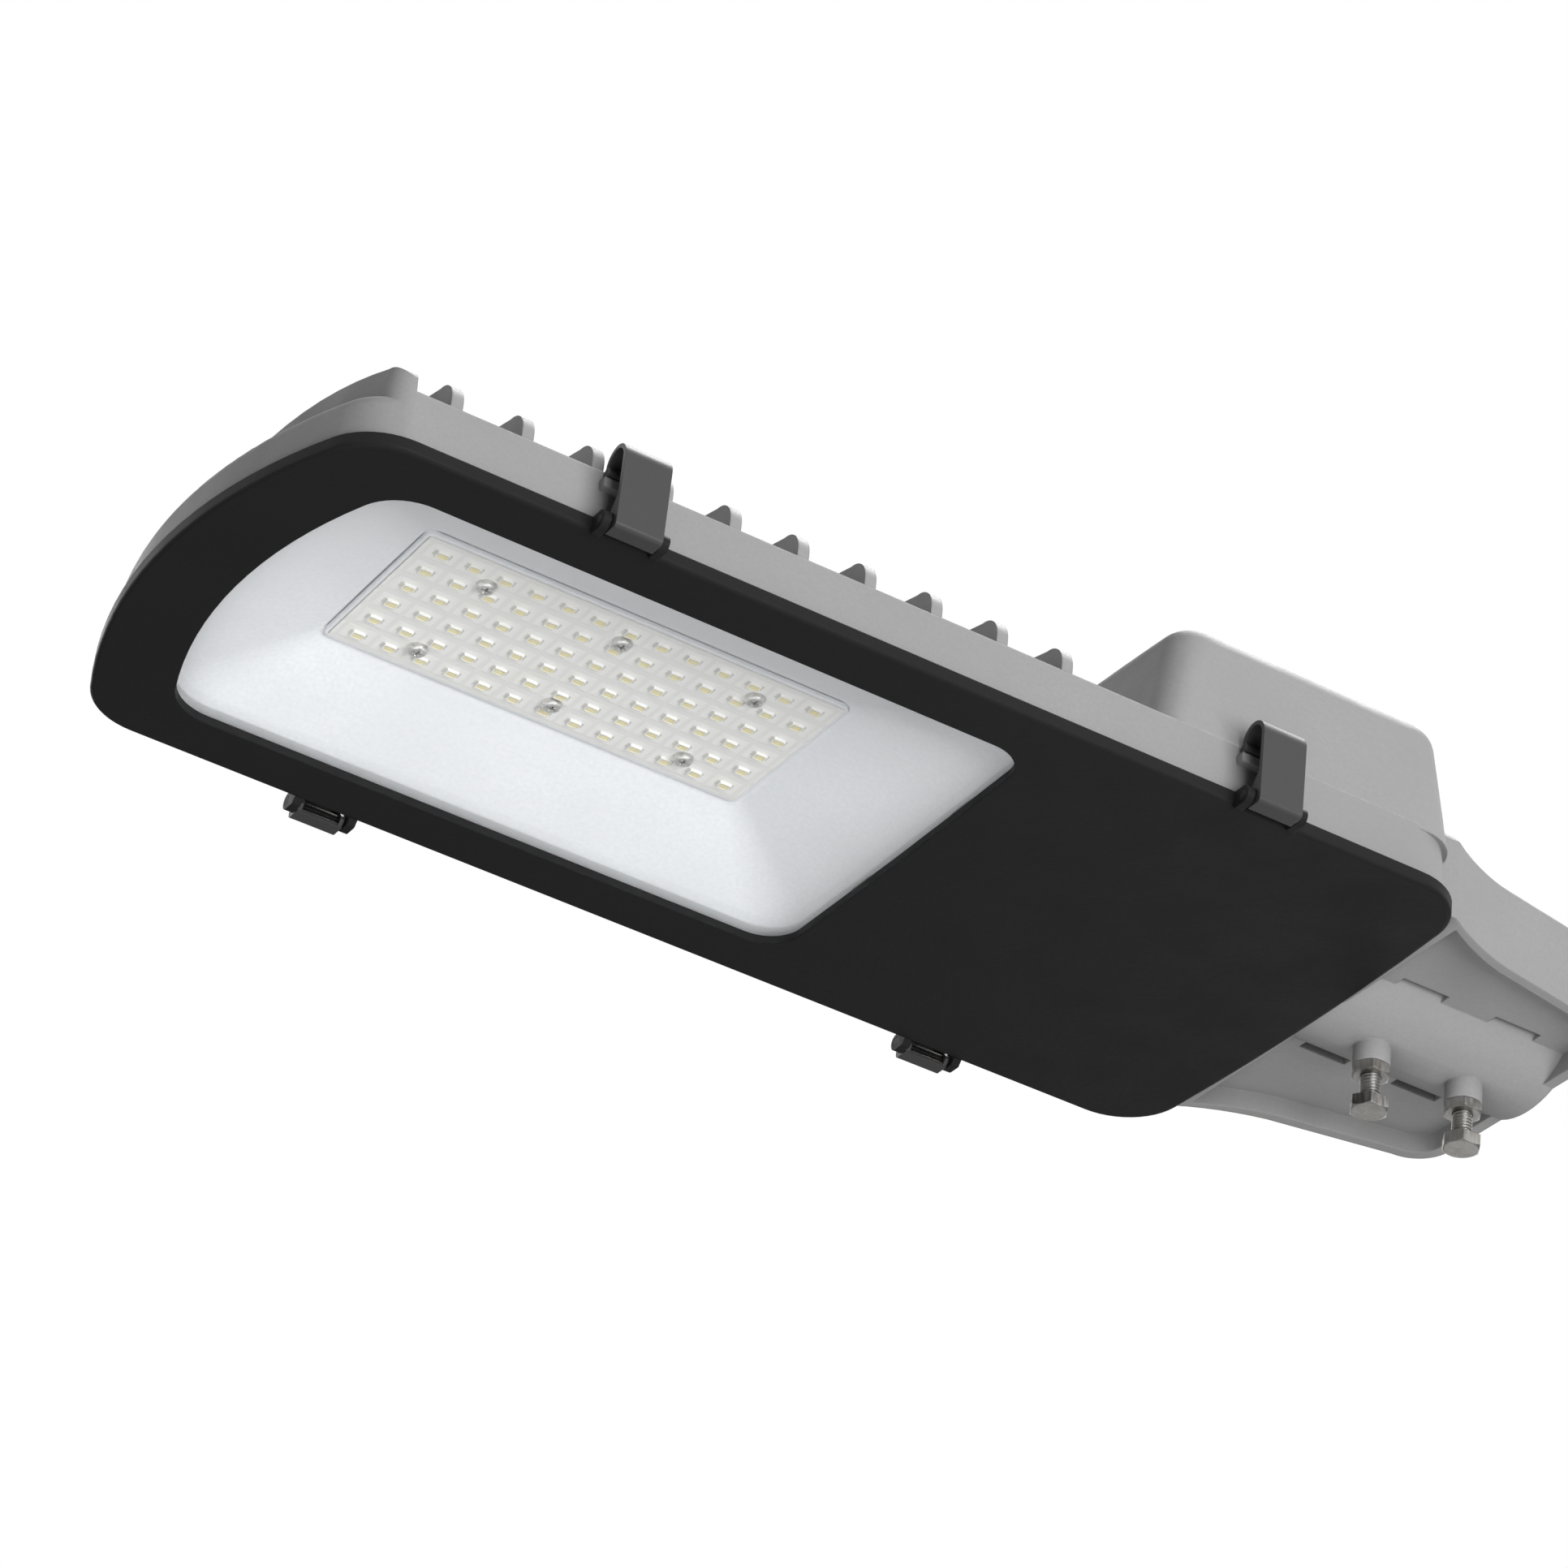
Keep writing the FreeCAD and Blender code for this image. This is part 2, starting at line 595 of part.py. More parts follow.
def make_compartment(body):
    """The raised driver compartment, with leaning sides and rounded upper edges."""
    foot = new_sketch(body, "compartment_foot", offset=up(f"Sizes.WallHeight - {PAST}"))
    draw_compartment_section(foot, BOX_HALF, "0", "0")
    top = new_sketch(body, "compartment_top", offset=up("Sizes.BoxHeight"))
    top_half = f"{BOX_HALF} - Sizes.BoxSideLean"
    draw_compartment_section(top, top_half, "Sizes.BoxFrontLean", "Sizes.BoxRearLean")
    loft(body, "compartment", [foot, top])
    fillet(body, "compartment_round", at_level("Sizes.BoxHeight"), "Sizes.BoxEdgeRound")


def draw_compartment_section(sketch, half, front_in, rear_in, inset="0"):
    """A rounded rectangle, drawn with the same eight edges as the head's outline."""
    draw_bowed_outline(
        sketch,
        f"({half}) - ({inset})",
        f"{ahead('Sizes.BoxFront')} + ({front_in}) + ({inset})",
        "Sizes.RearRadius",
        f"Sizes.BoxCorner - ({inset}) / 2",
        f"{ahead('Sizes.BoxRear')} - ({rear_in}) - ({inset})",
        "Sizes.RearRadius",
        f"Sizes.BoxRearCorner - ({inset}) / 2",
    )


def make_fins(body):
    """Cross fins on the roof, bowed along their tops and rounded at their ends."""
    fin = new_sketch(body, "fin_outline", "YZ_Plane", ahead("Sizes.FirstFin"))
    foot = up("Sizes.WallHeight - Sizes.RoofThickness / 2")
    top = arched_top(FIN_SIDE, "Sizes.FinEndHeight", "Sizes.FinCrown", "Sizes.FinRound")
    draw_profile(fin, [(f"-({FIN_SIDE})", foot), (FIN_SIDE, foot)] + top)
    first = pad(body, "fin", fin, "Sizes.FinThickness", both=True)
    repeat(body, "fins", [first], "X_Axis", "Sizes.FinPitch * (Sizes.FinCount - 1)", "Sizes.FinCount")


def bolt_places():
    """The clamp bolts' places along X."""
    return ("-Sizes.FirstBolt", "-Sizes.FirstBolt - Sizes.BoltPitch")


def tail_corners(inset):
    """The tail's plan, moved inwards; its front edge stays inside the head."""
    front = ahead("Sizes.RearCorner")
    mouth = f"-({inset})"
    turn = f"Sizes.TailCorner - ({inset})"
    shoulder = f"Sizes.TailShoulder - ({inset})"
    waist = f"Sizes.TailWaist - ({inset})"
    end = f"Sizes.TailEndWidth - ({inset})"
    waist_x = "-Sizes.TailLength + Sizes.TailWaistPlace"
    curve = f"-(Sizes.ShoulderRadius + ({inset}))"
    return [
        (front, f"-({shoulder})"),
        ("-Sizes.TailLength", f"-({shoulder})", curve),
        (waist_x, f"-({waist})"),
        (f"{mouth} - ({turn})", f"-({end})", turn),
        (mouth, f"-({end}) + ({turn})"),
        (mouth, f"({end}) - ({turn})", turn),
        (f"{mouth} - ({turn})", end),
        (waist_x, waist, curve),
        ("-Sizes.TailLength", shoulder),
        (front, shoulder),
    ]


def recess_corners(inside, inner_side):
    """The tail's plan inside its walls; from an inner side outwards, or over the full width."""
    wall = "Sizes.TailWall"
    corners = tail_corners(wall)
    curve = f"-(Sizes.ShoulderRadius + {wall})"
    share = f"(1 - ({inside} + Sizes.TailLength) / Sizes.TailWaistPlace)"
    shoulder = f"Sizes.TailWaist + (Sizes.TailShoulder - Sizes.TailWaist) * {share} - {wall}"
    far_half = [corners[6], (corners[7][0], corners[7][1], curve), (inside, shoulder)]
    mouth = corners[5]
    if inner_side:
        return [(mouth[0], inner_side), mouth] + far_half + [(inside, inner_side)]
    return [(inside, f"-({shoulder})", curve)] + corners[2:6] + far_half


def make_tail(body):
    """The tail behind the frame: flanks, a face inside them, and slots beside the barrel."""
    outline = new_sketch(body, "tail_outline", offset=up("Sizes.SkirtHeight"))
    draw_profile(outline, tail_corners("0"))
    pad(body, "tail", outline, "Sizes.TailHeight - Sizes.TailBevel - Sizes.SkirtHeight")
    bevel_foot = new_sketch(body, "tail_bevel_foot", offset=up("Sizes.TailHeight - Sizes.TailBevel"))
    draw_profile(bevel_foot, tail_corners("0"))
    bevel_top = new_sketch(body, "tail_bevel_top", offset=up("Sizes.TailHeight"))
    draw_profile(bevel_top, tail_corners("Sizes.TailBevel"))
    loft(body, "tail_bevel", [bevel_foot, bevel_top])
    inside = "-Sizes.TailLength + Sizes.TailWall"
    recess = new_sketch(body, "tail_recess_outline", offset=up("Sizes.SkirtHeight"))
    draw_profile(recess, recess_corners(inside, None))
    pocket(body, "tail_recess", recess, "Sizes.TailFloor - Sizes.SkirtHeight", reverse=True)
    slot = new_sketch(body, "slot_outline", offset=up("Sizes.TailFloor"))
    half = "Sizes.SlotLength / 2"
    for x in bolt_places():
        draw_box(slot, f"{x} - {half}", f"{x} + {half}", "Sizes.SlotInner", "Sizes.SlotOuter")
    slots = pocket(body, "slots_far", slot, "Sizes.SlotDepth", reverse=True)
    mirror(body, "slots", [slots])


def make_hollows(body):
    """The light chamber, the board's seat and the driver compartment, all open below."""
    base = up("Sizes.SkirtHeight")
    low = new_sketch(body, "low_chamber_outline", offset=base)
    draw_frame_outline(low, INNER)
    nose_depth = "Sizes.NoseHeight - Sizes.WallThickness - Sizes.SkirtHeight"
    pocket(body, "low_chamber", low, nose_depth, reverse=True, taper="-Sizes.WallDraft")
    high = new_sketch(body, "chamber_outline", offset=base)
    draw_block_outline(high, INNER)
    depth = "Sizes.WallHeight - Sizes.RoofThickness - Sizes.SkirtHeight"
    pocket(body, "chamber", high, depth, reverse=True, taper="-Sizes.WallDraft")
    seat = new_sketch(body, "board_seat_outline", offset=base)
    half_length = "Sizes.BoardLength / 2 + Sizes.SeatMargin"
    half_width = "Sizes.BoardWidth / 2 + Sizes.SeatMargin"
    middle = ahead("Sizes.BoardPlace")
    ends = (f"{middle} - ({half_length})", f"{middle} + {half_length}")
    draw_box(seat, *ends, f"-({half_width})", half_width)
    pocket(body, "board_seat", seat, "Sizes.BoardSeat - Sizes.SkirtHeight", reverse=True)
    holes = new_sketch(body, "board_hole_outline", offset=up("Sizes.BoardSeat"))
    for x, y in board_screw_places():
        draw_circle(holes, x, y, "Sizes.SmallScrewRadius + Sizes.BoltClearance")
    pocket(body, "board_holes", holes, "Sizes.SmallScrewBite + Sizes.BoltClearance", reverse=True)

    wall = "Sizes.WallThickness"
    foot = new_sketch(body, "compartment_hollow_foot", offset=up(f"Sizes.WallHeight - {PAST}"))
    draw_compartment_section(foot, BOX_HALF, "0", "0", wall)
    top = new_sketch(body, "compartment_hollow_top", offset=up(f"Sizes.BoxHeight - {wall}"))
    lean = f"(1 - {wall} / (Sizes.BoxHeight - Sizes.WallHeight + {PAST}))"
    top_half = f"{BOX_HALF} - Sizes.BoxSideLean * {lean}"
    leans = (f"Sizes.BoxFrontLean * {lean}", f"Sizes.BoxRearLean * {lean}")
    draw_compartment_section(top, top_half, *leans, wall)
    loft(body, "compartment_hollow", [foot, top], cut=True)
    throat_foot = up(f"Sizes.WallHeight - Sizes.RoofThickness - {PAST}")
    throat = new_sketch(body, "compartment_throat_outline", offset=throat_foot)
    draw_compartment_section(throat, BOX_HALF, "0", "0", wall)
    pocket(body, "compartment_throat", throat, f"Sizes.RoofThickness + {PAST}", reverse=True)

    core = new_sketch(body, "tail_core_outline", offset=up("Sizes.TailFloor + Sizes.TailWall"))
    draw_profile(core, recess_corners(f"{ahead('Sizes.BoxRear')} - {wall} - {PAST}", "Sizes.CoreInner"))
    core_height = "Sizes.TailHeight - Sizes.TailFloor - 2 * Sizes.TailWall"
    core_far = pocket(body, "tail_core_far", core, core_height, reverse=True)
    mirror(body, "tail_cores", [core_far])

    ceiling = "Sizes.WallHeight - Sizes.RoofThickness / 2"
    partition = new_sketch(body, "partition_outline", offset=up(ceiling))
    rear = ahead("Sizes.PartitionPlace")
    side = f"{HALF} - ({INNER})"
    notch = "Sizes.LeadRadius * 3"
    draw_box(partition, f"{rear} - Sizes.PartitionThickness", rear, f"-({side})", f"-{notch}")
    drop = f"{ceiling} - Sizes.PartitionGap"
    half_wall = pad(body, "partition_half", partition, drop, reverse=True)
    mirror(body, "partition", [half_wall])


WALL_OUT = ahead("Sizes.BoxRear")
WALL_IN = ahead("Sizes.BoxRear + Sizes.WallThickness + Sizes.BoxRearLean")


def make_barrel(body):
    """The pole socket: barrel, bolt bosses, bore with its stop, gland hole and bolt holes."""
    barrel_front = "-Sizes.TailLength + Sizes.FrameGap"
    outer = "Sizes.SocketRadius + Sizes.SocketWall"
    barrel = new_sketch(body, "barrel_outline", "YZ_Plane", barrel_front)
    draw_circle(barrel, "0", "0", outer)
    pad(body, "barrel", barrel, "Sizes.TailLength - Sizes.FrameGap")
    inside = new_sketch(body, "socket_end_outline", "YZ_Plane", WALL_IN)
    draw_circle(inside, "0", "0", "Sizes.SocketRadius")
    pad(body, "socket_end", inside, f"-Sizes.TailLength + Sizes.FrameGap + {PAST} - ({WALL_IN})")
    boss = new_sketch(body, "boss_outline", offset=f"-({outer}) - Sizes.BossDrop")
    for x in bolt_places():
        draw_circle(boss, x, "0", "Sizes.BossRadius")
    pad(body, "bosses", boss, f"Sizes.BossDrop + Sizes.SocketWall + {PAST}")
    bore = new_sketch(body, "bore_outline", "YZ_Plane", "-Sizes.SocketDepth")
    draw_circle(bore, "0", "0", "Sizes.SocketRadius")
    pocket(body, "bore", bore, f"Sizes.SocketDepth + {PAST}", reverse=True)
    stop = new_sketch(body, "stop_outline", "YZ_Plane", "-Sizes.TailLength - Sizes.BoxRear")
    draw_circle(stop, "0", "0", "Sizes.SocketRadius - Sizes.StopStep")
    pocket(body, "gland_room", stop, "Sizes.TailLength", reverse=True)
    gland = new_sketch(body, "gland_hole_outline", "YZ_Plane", f"{WALL_IN} - {PAST}")
    draw_circle(gland, "0", "0", "Sizes.GlandRadius + Sizes.BoltClearance")
    pocket(body, "gland_hole", gland, "Sizes.WallThickness * 3", reverse=True)
    hole = new_sketch(body, "bolt_hole_outline")
    for x in bolt_places():
        draw_circle(hole, x, "0", "Sizes.BoltRadius + Sizes.BoltClearance")
    pocket(body, "bolt_holes", hole, f"{outer} + Sizes.BossDrop + {PAST}")


def driver_ear_place():
    """The driver's ear screws, from the middle plane."""
    return "Sizes.DriverLength / 2 + Sizes.CapThickness + Sizes.EarLength / 2"


DRIVER_TOP = up("Sizes.BoxHeight - Sizes.WallThickness - Sizes.LatchRunning")
EAR_TOP = up("Sizes.BoxHeight - Sizes.WallThickness - Sizes.PillarLength")


def make_pillars(body):
    """Pillars under the compartment's ceiling for the driver's screws."""
    pillar = new_sketch(body, "pillar_outline", offset=EAR_TOP)
    x = ahead("Sizes.DriverPlace")
    y = driver_ear_place()
    for side in (y, f"-({y})"):
        draw_circle(pillar, x, side, "Sizes.PillarRadius")
    pad(body, "pillars", pillar, f"Sizes.PillarLength + {PAST}")
    hole = new_sketch(body, "pillar_hole_outline", offset=EAR_TOP)
    for side in (y, f"-({y})"):
        draw_circle(hole, x, side, "Sizes.SmallScrewRadius + Sizes.BoltClearance")
    pocket(body, "pillar_holes", hole, "Sizes.PillarLength", reverse=True)


def make_ledges(body):
    """Small ledges on the side walls, one under each latch's lip."""
    ledge_top = "Sizes.ArchHeight - Sizes.CurlDrop - Sizes.CurlRadius - Sizes.LatchRunning"
    base = up(f"{ledge_top} - Sizes.LedgeThickness")
    ledge = new_sketch(body, "ledge_outline", offset=base)
    inside = f"-({HALF} - Sizes.WallInset - Sizes.WallThickness)"
    edge = f"-({HALF} - Sizes.WallInset + Sizes.LedgeReach)"
    half = "Sizes.LedgeWidth / 2"
    for place in ("Sizes.FrontLatch", "Sizes.RearLatch"):
        middle = ahead(place)
        draw_box(ledge, f"{middle} - {half}", f"{middle} + {half}", edge, inside)
    near = pad(body, "ledges_near", ledge, "Sizes.LedgeThickness")
    mirror(body, "ledges", [near])


def make_cover_frame():
    """The black frame: plate with the window, skirt, ribs and the latches' lugs."""
    body = new_body("cover_frame")
    outline = new_sketch(body, "frame_outline", offset=up("0"))
    draw_frame_outline(outline, "0")
    pad(body, "frame_plate", outline, "Sizes.SkirtHeight")
    fillet(body, "frame_edge_round", at_level("0"), "Sizes.FrameEdgeRound")
    hollow = new_sketch(body, "frame_hollow_outline", offset=up("Sizes.PlateThickness"))
    draw_frame_outline(hollow, "Sizes.SkirtWall")
    pocket(body, "frame_hollow", hollow, "Sizes.SkirtHeight", reverse=True)
    window = new_sketch(body, "window_outline", offset=up("0"))
    draw_window_outline(window, "0")
    pocket(body, "window", window, f"Sizes.PlateThickness + {PAST}", reverse=True)
    rib = new_sketch(body, "seal_rib_outline", offset=up("Sizes.PlateThickness"))
    rib_place = "Sizes.SkirtWall + Sizes.SealGap * 2 + Sizes.SealWidth"
    draw_frame_outline(rib, rib_place)
    draw_frame_outline(rib, f"{rib_place} + Sizes.RibWidth")
    pad(body, "seal_rib", rib, "Sizes.SkirtHeight - Sizes.PlateThickness")
    cross = new_sketch(body, "stiffener_outline", offset=up("Sizes.PlateThickness"))
    side = "Sizes.WindowWidth / 2 - Sizes.GlassOverlap"
    rear = ahead("Sizes.RearCorner")
    front = f"{ahead('Sizes.PartitionPlace')} + Sizes.PartitionThickness"
    spread = "Sizes.WindowWidth / 6"
    for place in (f"-({spread})", spread):
        draw_box(cross, front, rear, f"{place} - Sizes.RibWidth / 2", f"{place} + Sizes.RibWidth / 2")
    pad(body, "stiffeners", cross, "Sizes.RibHeight")
    make_lugs(body)
    holes = new_sketch(body, "clip_hole_outline", offset=up("Sizes.PlateThickness"))
    for x, y, toward in clip_places():
        draw_circle(holes, x, y, "Sizes.SmallScrewRadius + Sizes.BoltClearance")
    pocket(body, "clip_holes", holes, "Sizes.ClipBite + Sizes.BoltClearance")
    return body


LUG_START = "Sizes.LatchWidth / 2 + Sizes.LatchRunning"


def make_lugs(body):
    """A pair of lugs beside each latch, with their ends round the pin."""
    pin_y = f"-({HALF} + Sizes.PinOut)"
    low = up("Sizes.PinHeight - Sizes.LugRadius")
    high = up("Sizes.PinHeight + Sizes.LugRadius")
    inside = f"-({HALF} - Sizes.SkirtWall / 2)"
    features = []
    for name, place in (("front", "Sizes.FrontLatch"), ("rear", "Sizes.RearLatch")):
        for side, start in (("nose", f"-({LUG_START}) - Sizes.LugWidth"), ("tail", LUG_START)):
            lug = new_sketch(body, f"{name}_{side}_lug_outline", "YZ_Plane", f"{ahead(place)} + {start}")
            draw_profile(
                lug,
                [
                    (inside, up("Sizes.FrameEdgeRound")),
                    (inside, high),
                    (pin_y, high, "Sizes.LugRadius"),
                    (pin_y, low),
                    (f"-({HALF} + Sizes.LugRadius / 4)", low),
                ],
            )
            features.append(pad(body, f"{name}_{side}_lug", lug, "Sizes.LugWidth"))
    mirror(body, "lugs", features)
    hole = new_sketch(body, "pin_hole_outline", "YZ_Plane", NOSE)
    draw_circle(hole, pin_y, up("Sizes.PinHeight"), "Sizes.PinRadius + Sizes.PinRunning")
    near = pocket(body, "pin_hole", hole, "Sizes.FrameLength", reverse=True)
    mirror(body, "pin_holes", [near])


def make_glass():
    body = new_body("glass")
    outline = new_sketch(body, "glass_outline", offset=up("Sizes.PlateThickness"))
    draw_window_outline(outline, "Sizes.GlassOverlap")
    pad(body, "glass_sheet", outline, "Sizes.GlassThickness")
    return body


def make_glass_seal():
    """Silicone bead round the glass's edge."""
    body = new_body("glass_seal")
    outline = new_sketch(body, "bead_outline", offset=up("Sizes.PlateThickness"))
    draw_window_outline(outline, "Sizes.GlassOverlap + Sizes.BeadWidth")
    draw_window_outline(outline, "Sizes.GlassOverlap")
    pad(body, "bead", outline, "Sizes.GlassThickness")
    return body


def clip_places():
    """The clips' screws, two at the nose and two behind the window, and their way to the glass."""
    bead = "(Sizes.GlassOverlap + Sizes.BeadWidth)"
    beside = "(Sizes.SealGap + Sizes.ClipFoot / 2)"
    spread = "Sizes.ClipSpread / 2"
    bow = f"({spread} - Sizes.ClipWidth / 2) ^ 2 / (2 * (Sizes.WindowNoseRadius + {bead}))"
    front = f"{NOSE} + Sizes.WindowNoseGap - {bead} + {bow} - {beside}"
    rear = f"{ahead('Sizes.WindowRearGap')} + {bead} + {beside}"
    return [(x, f"{side} * {spread}", toward) for x, toward in ((front, 1), (rear, -1)) for side in (-1, 1)]


def make_glass_clips():
    """Four bent sheet clips on the frame's plate, each with its tongue over the glass."""
    body = new_body("glass_clips")
    body.AllowCompound = True
    foot = new_sketch(body, "clip_feet_outline", offset=up("Sizes.PlateThickness"))
    glass_top = up("Sizes.PlateThickness + Sizes.GlassThickness")
    tongue = new_sketch(body, "clip_tongues_outline", offset=glass_top)
    half = "Sizes.ClipFoot / 2"
    reach = "Sizes.SealGap + Sizes.BeadWidth + Sizes.ClipReach"
    for x, y, toward in clip_places():
        low, high = f"{y} - Sizes.ClipWidth / 2", f"{y} + Sizes.ClipWidth / 2"
        draw_box(foot, f"{x} - {half}", f"{x} + {half}", low, high)
        start, end = (f"{x} - {half}", f"{x} + {half} + {reach}")
        if toward < 0:
            start, end = (f"{x} - {half} - ({reach})", f"{x} + {half}")
        draw_box(tongue, start, end, low, high)
        for sketch in (foot, tongue):
            draw_circle(sketch, x, y, "Sizes.SmallScrewRadius + Sizes.BoltClearance")
    pad(body, "clip_feet", foot, "Sizes.GlassThickness")
    pad(body, "clip_tongues", tongue, "Sizes.ClipSheet")
    return body


def make_glass_clip_screws():
    body = new_body("glass_clip_screws")
    body.AllowCompound = True
    seat = up("Sizes.PlateThickness + Sizes.GlassThickness + Sizes.ClipSheet")
    heads = new_sketch(body, "clip_heads_outline", offset=seat)
    shanks = new_sketch(body, "clip_shanks_outline", offset=f"{seat} + Sizes.SmallHeadHeight / 2")
    for x, y, toward in clip_places():
        draw_circle(heads, x, y, "Sizes.SmallHeadRadius")
        draw_circle(shanks, x, y, "Sizes.SmallScrewRadius")
    pad(body, "clip_heads", heads, "Sizes.SmallHeadHeight")
    length = "Sizes.SmallHeadHeight / 2 + Sizes.ClipSheet + Sizes.GlassThickness + Sizes.ClipBite"
    pad(body, "clip_shanks", shanks, length, reverse=True)
    return body


def make_housing_seal():
    """Flat ring in the frame's groove; the housing's wall stands on it."""
    body = new_body("housing_seal")
    outline = new_sketch(body, "seal_outline", offset=up("Sizes.PlateThickness"))
    place = "Sizes.SkirtWall + Sizes.SealGap"
    draw_frame_outline(outline, place)
    draw_frame_outline(outline, f"{place} + Sizes.SealWidth")
    pad(body, "seal_ring", outline, "Sizes.SkirtHeight - Sizes.PlateThickness")
    return body


def draw_tray_top(sketch, gap):
    """The tray's upper opening, drawn with the same eight edges as the window."""
    middle = ahead("Sizes.BoardPlace")
    draw_bowed_outline(
        sketch,
        f"Sizes.BoardWidth / 2 + ({gap})",
        f"{middle} - Sizes.BoardLength / 2 - ({gap})",
        "Sizes.WindowRearRadius",
        f"Sizes.TrayCorner + ({gap})",
        f"{middle} + Sizes.BoardLength / 2 + ({gap})",
        "Sizes.WindowRearRadius",
        f"Sizes.TrayCorner + ({gap})",
    )


def make_reflector_tray():
    """White tray: slopes from the window up to the board, with a flange at the foot."""
    body = new_body("reflector_tray")
    foot_height = up("Sizes.TrayFlange")
    top_height = up("Sizes.BoardSeat")
    outer_foot = new_sketch(body, "tray_outer_foot", offset=foot_height)
    draw_window_outline(outer_foot, "Sizes.TrayEdge + Sizes.TraySheet")
    outer_top = new_sketch(body, "tray_outer_top", offset=top_height)
    draw_tray_top(outer_top, "Sizes.TrayClear + Sizes.TraySheet")
    loft(body, "tray_outside", [outer_foot, outer_top])
    flange = new_sketch(body, "tray_flange_outline", offset=foot_height)
    draw_window_outline(flange, "Sizes.TrayOverlap")
    pad(body, "tray_flange", flange, "Sizes.TraySheet")
    inner_foot = new_sketch(body, "tray_inner_foot", offset=foot_height)
    draw_window_outline(inner_foot, "Sizes.TrayEdge")
    inner_top = new_sketch(body, "tray_inner_top", offset=top_height)
    draw_tray_top(inner_top, "Sizes.TrayClear")
    loft(body, "tray_inside", [inner_foot, inner_top], cut=True)
    return body


BOARD_FACE = up("Sizes.BoardSeat - Sizes.BoardThickness")


def board_screw_places():
    """The board's screws, three along each side, as (x, y) expressions."""
    middle = ahead("Sizes.BoardPlace")
    places = []
    for side in (-1, 1):
        y = f"{side} * Sizes.BoardScrewSpread / 2"
        for step in (-1, 0, 1):
            places.append((f"{middle} + {step} * Sizes.BoardScrewPitch", y))
    return places


def make_led_board():
    body = new_body("led_board")
    outline = new_sketch(body, "board_outline", offset=BOARD_FACE)
    middle = ahead("Sizes.BoardPlace")
    draw_box(
        outline,
        f"{middle} - Sizes.BoardLength / 2",
        f"{middle} + Sizes.BoardLength / 2",
        "-Sizes.BoardWidth / 2",
        "Sizes.BoardWidth / 2",
    )
    for x, y in board_screw_places():
        draw_circle(outline, x, y, "Sizes.SmallScrewRadius + Sizes.BoltClearance")
    pad(body, "board", outline, "Sizes.BoardThickness")
    return body


def make_led_chips():
    """The LEDs under the board, in even rows and columns."""
    body = new_body("led_chips")
    body.AllowCompound = True
    outline = new_sketch(body, "chip_outline", offset=BOARD_FACE)
    x = f"{ahead('Sizes.BoardPlace')} - Sizes.ChipColumnPitch * (Sizes.ChipColumns - 1) / 2"
    y = "-Sizes.ChipRowPitch * (Sizes.ChipRows - 1) / 2"
    draw_box(
        outline,
        f"{x} - Sizes.ChipLength / 2",
        f"{x} + Sizes.ChipLength / 2",
        f"{y} - Sizes.ChipWidth / 2",
        f"{y} + Sizes.ChipWidth / 2",
    )
    chip = pad(body, "chip", outline, "Sizes.ChipHeight", reverse=True)
    grid = body.newObject("PartDesign::MultiTransform", "chip_grid")
    grid.Originals = [chip]
    steps = []
    for name, role, pitch, count in (
        ("chip_columns", "X_Axis", "Sizes.ChipColumnPitch", "Sizes.ChipColumns"),
        ("chip_rows", "Y_Axis", "Sizes.ChipRowPitch", "Sizes.ChipRows"),
    ):
        line = body.newObject("PartDesign::LinearPattern", name)
        line.Direction = ([item for item in body.Origin.OriginFeatures if item.Role == role][0], [""])
        line.setExpression("Length", f"{pitch} * ({count} - 1)")
        line.setExpression("Occurrences", count)
        steps.append(line)
    grid.Transformations = steps
    body.Tip = grid
    document.recompute()
    return body


def make_screws(label, places, seat, bite):
    """Pan-head screws that point up, their heads under the seat."""
    body = new_body(label)
    body.AllowCompound = True
    heads = new_sketch(body, f"{label}_heads", offset=seat)
    shanks = new_sketch(body, f"{label}_shanks", offset=f"{seat} - Sizes.SmallHeadHeight / 2")
    for x, y in places:
        draw_circle(heads, x, y, "Sizes.SmallHeadRadius")
        draw_circle(shanks, x, y, "Sizes.SmallScrewRadius")
    pad(body, f"{label}_head_pads", heads, "Sizes.SmallHeadHeight", reverse=True)
    pad(body, f"{label}_shank_pads", shanks, f"{bite} + Sizes.SmallHeadHeight / 2")
    return body


def make_board_screws():
    bite = "Sizes.BoardThickness + Sizes.SmallScrewBite"
    return make_screws("board_screws", board_screw_places(), BOARD_FACE, bite)


def make_driver_screws():
    """The screws through the driver's ears, into the pillars."""
    x = ahead("Sizes.DriverPlace")
    places = [(x, f"{side} * ({driver_ear_place()})") for side in (-1, 1)]
    bite = f"Sizes.EarThickness + Sizes.PillarLength - {PAST}"
    return make_screws("driver_screws", places, f"{EAR_TOP} - Sizes.EarThickness", bite)


def make_driver_case():
    """The driver's aluminium case, a closed block between its end caps."""
    body = new_body("driver_case")
    outline = new_sketch(body, "driver_outline", "XZ_Plane", "-Sizes.DriverLength / 2")
    middle = ahead("Sizes.DriverPlace")
    low = f"{DRIVER_TOP} - Sizes.DriverHeight"
    half = "Sizes.DriverWidth / 2"
    draw_box(outline, f"{middle} - {half}", f"{middle} + {half}", low, DRIVER_TOP)
    pad(body, "driver_sleeve", outline, "Sizes.DriverLength")

    def runs_across(edge):
        return edge.BoundBox.YLength > size("DriverLength") / 2

    fillet(body, "driver_round", runs_across, "Sizes.DriverRound")
    return body


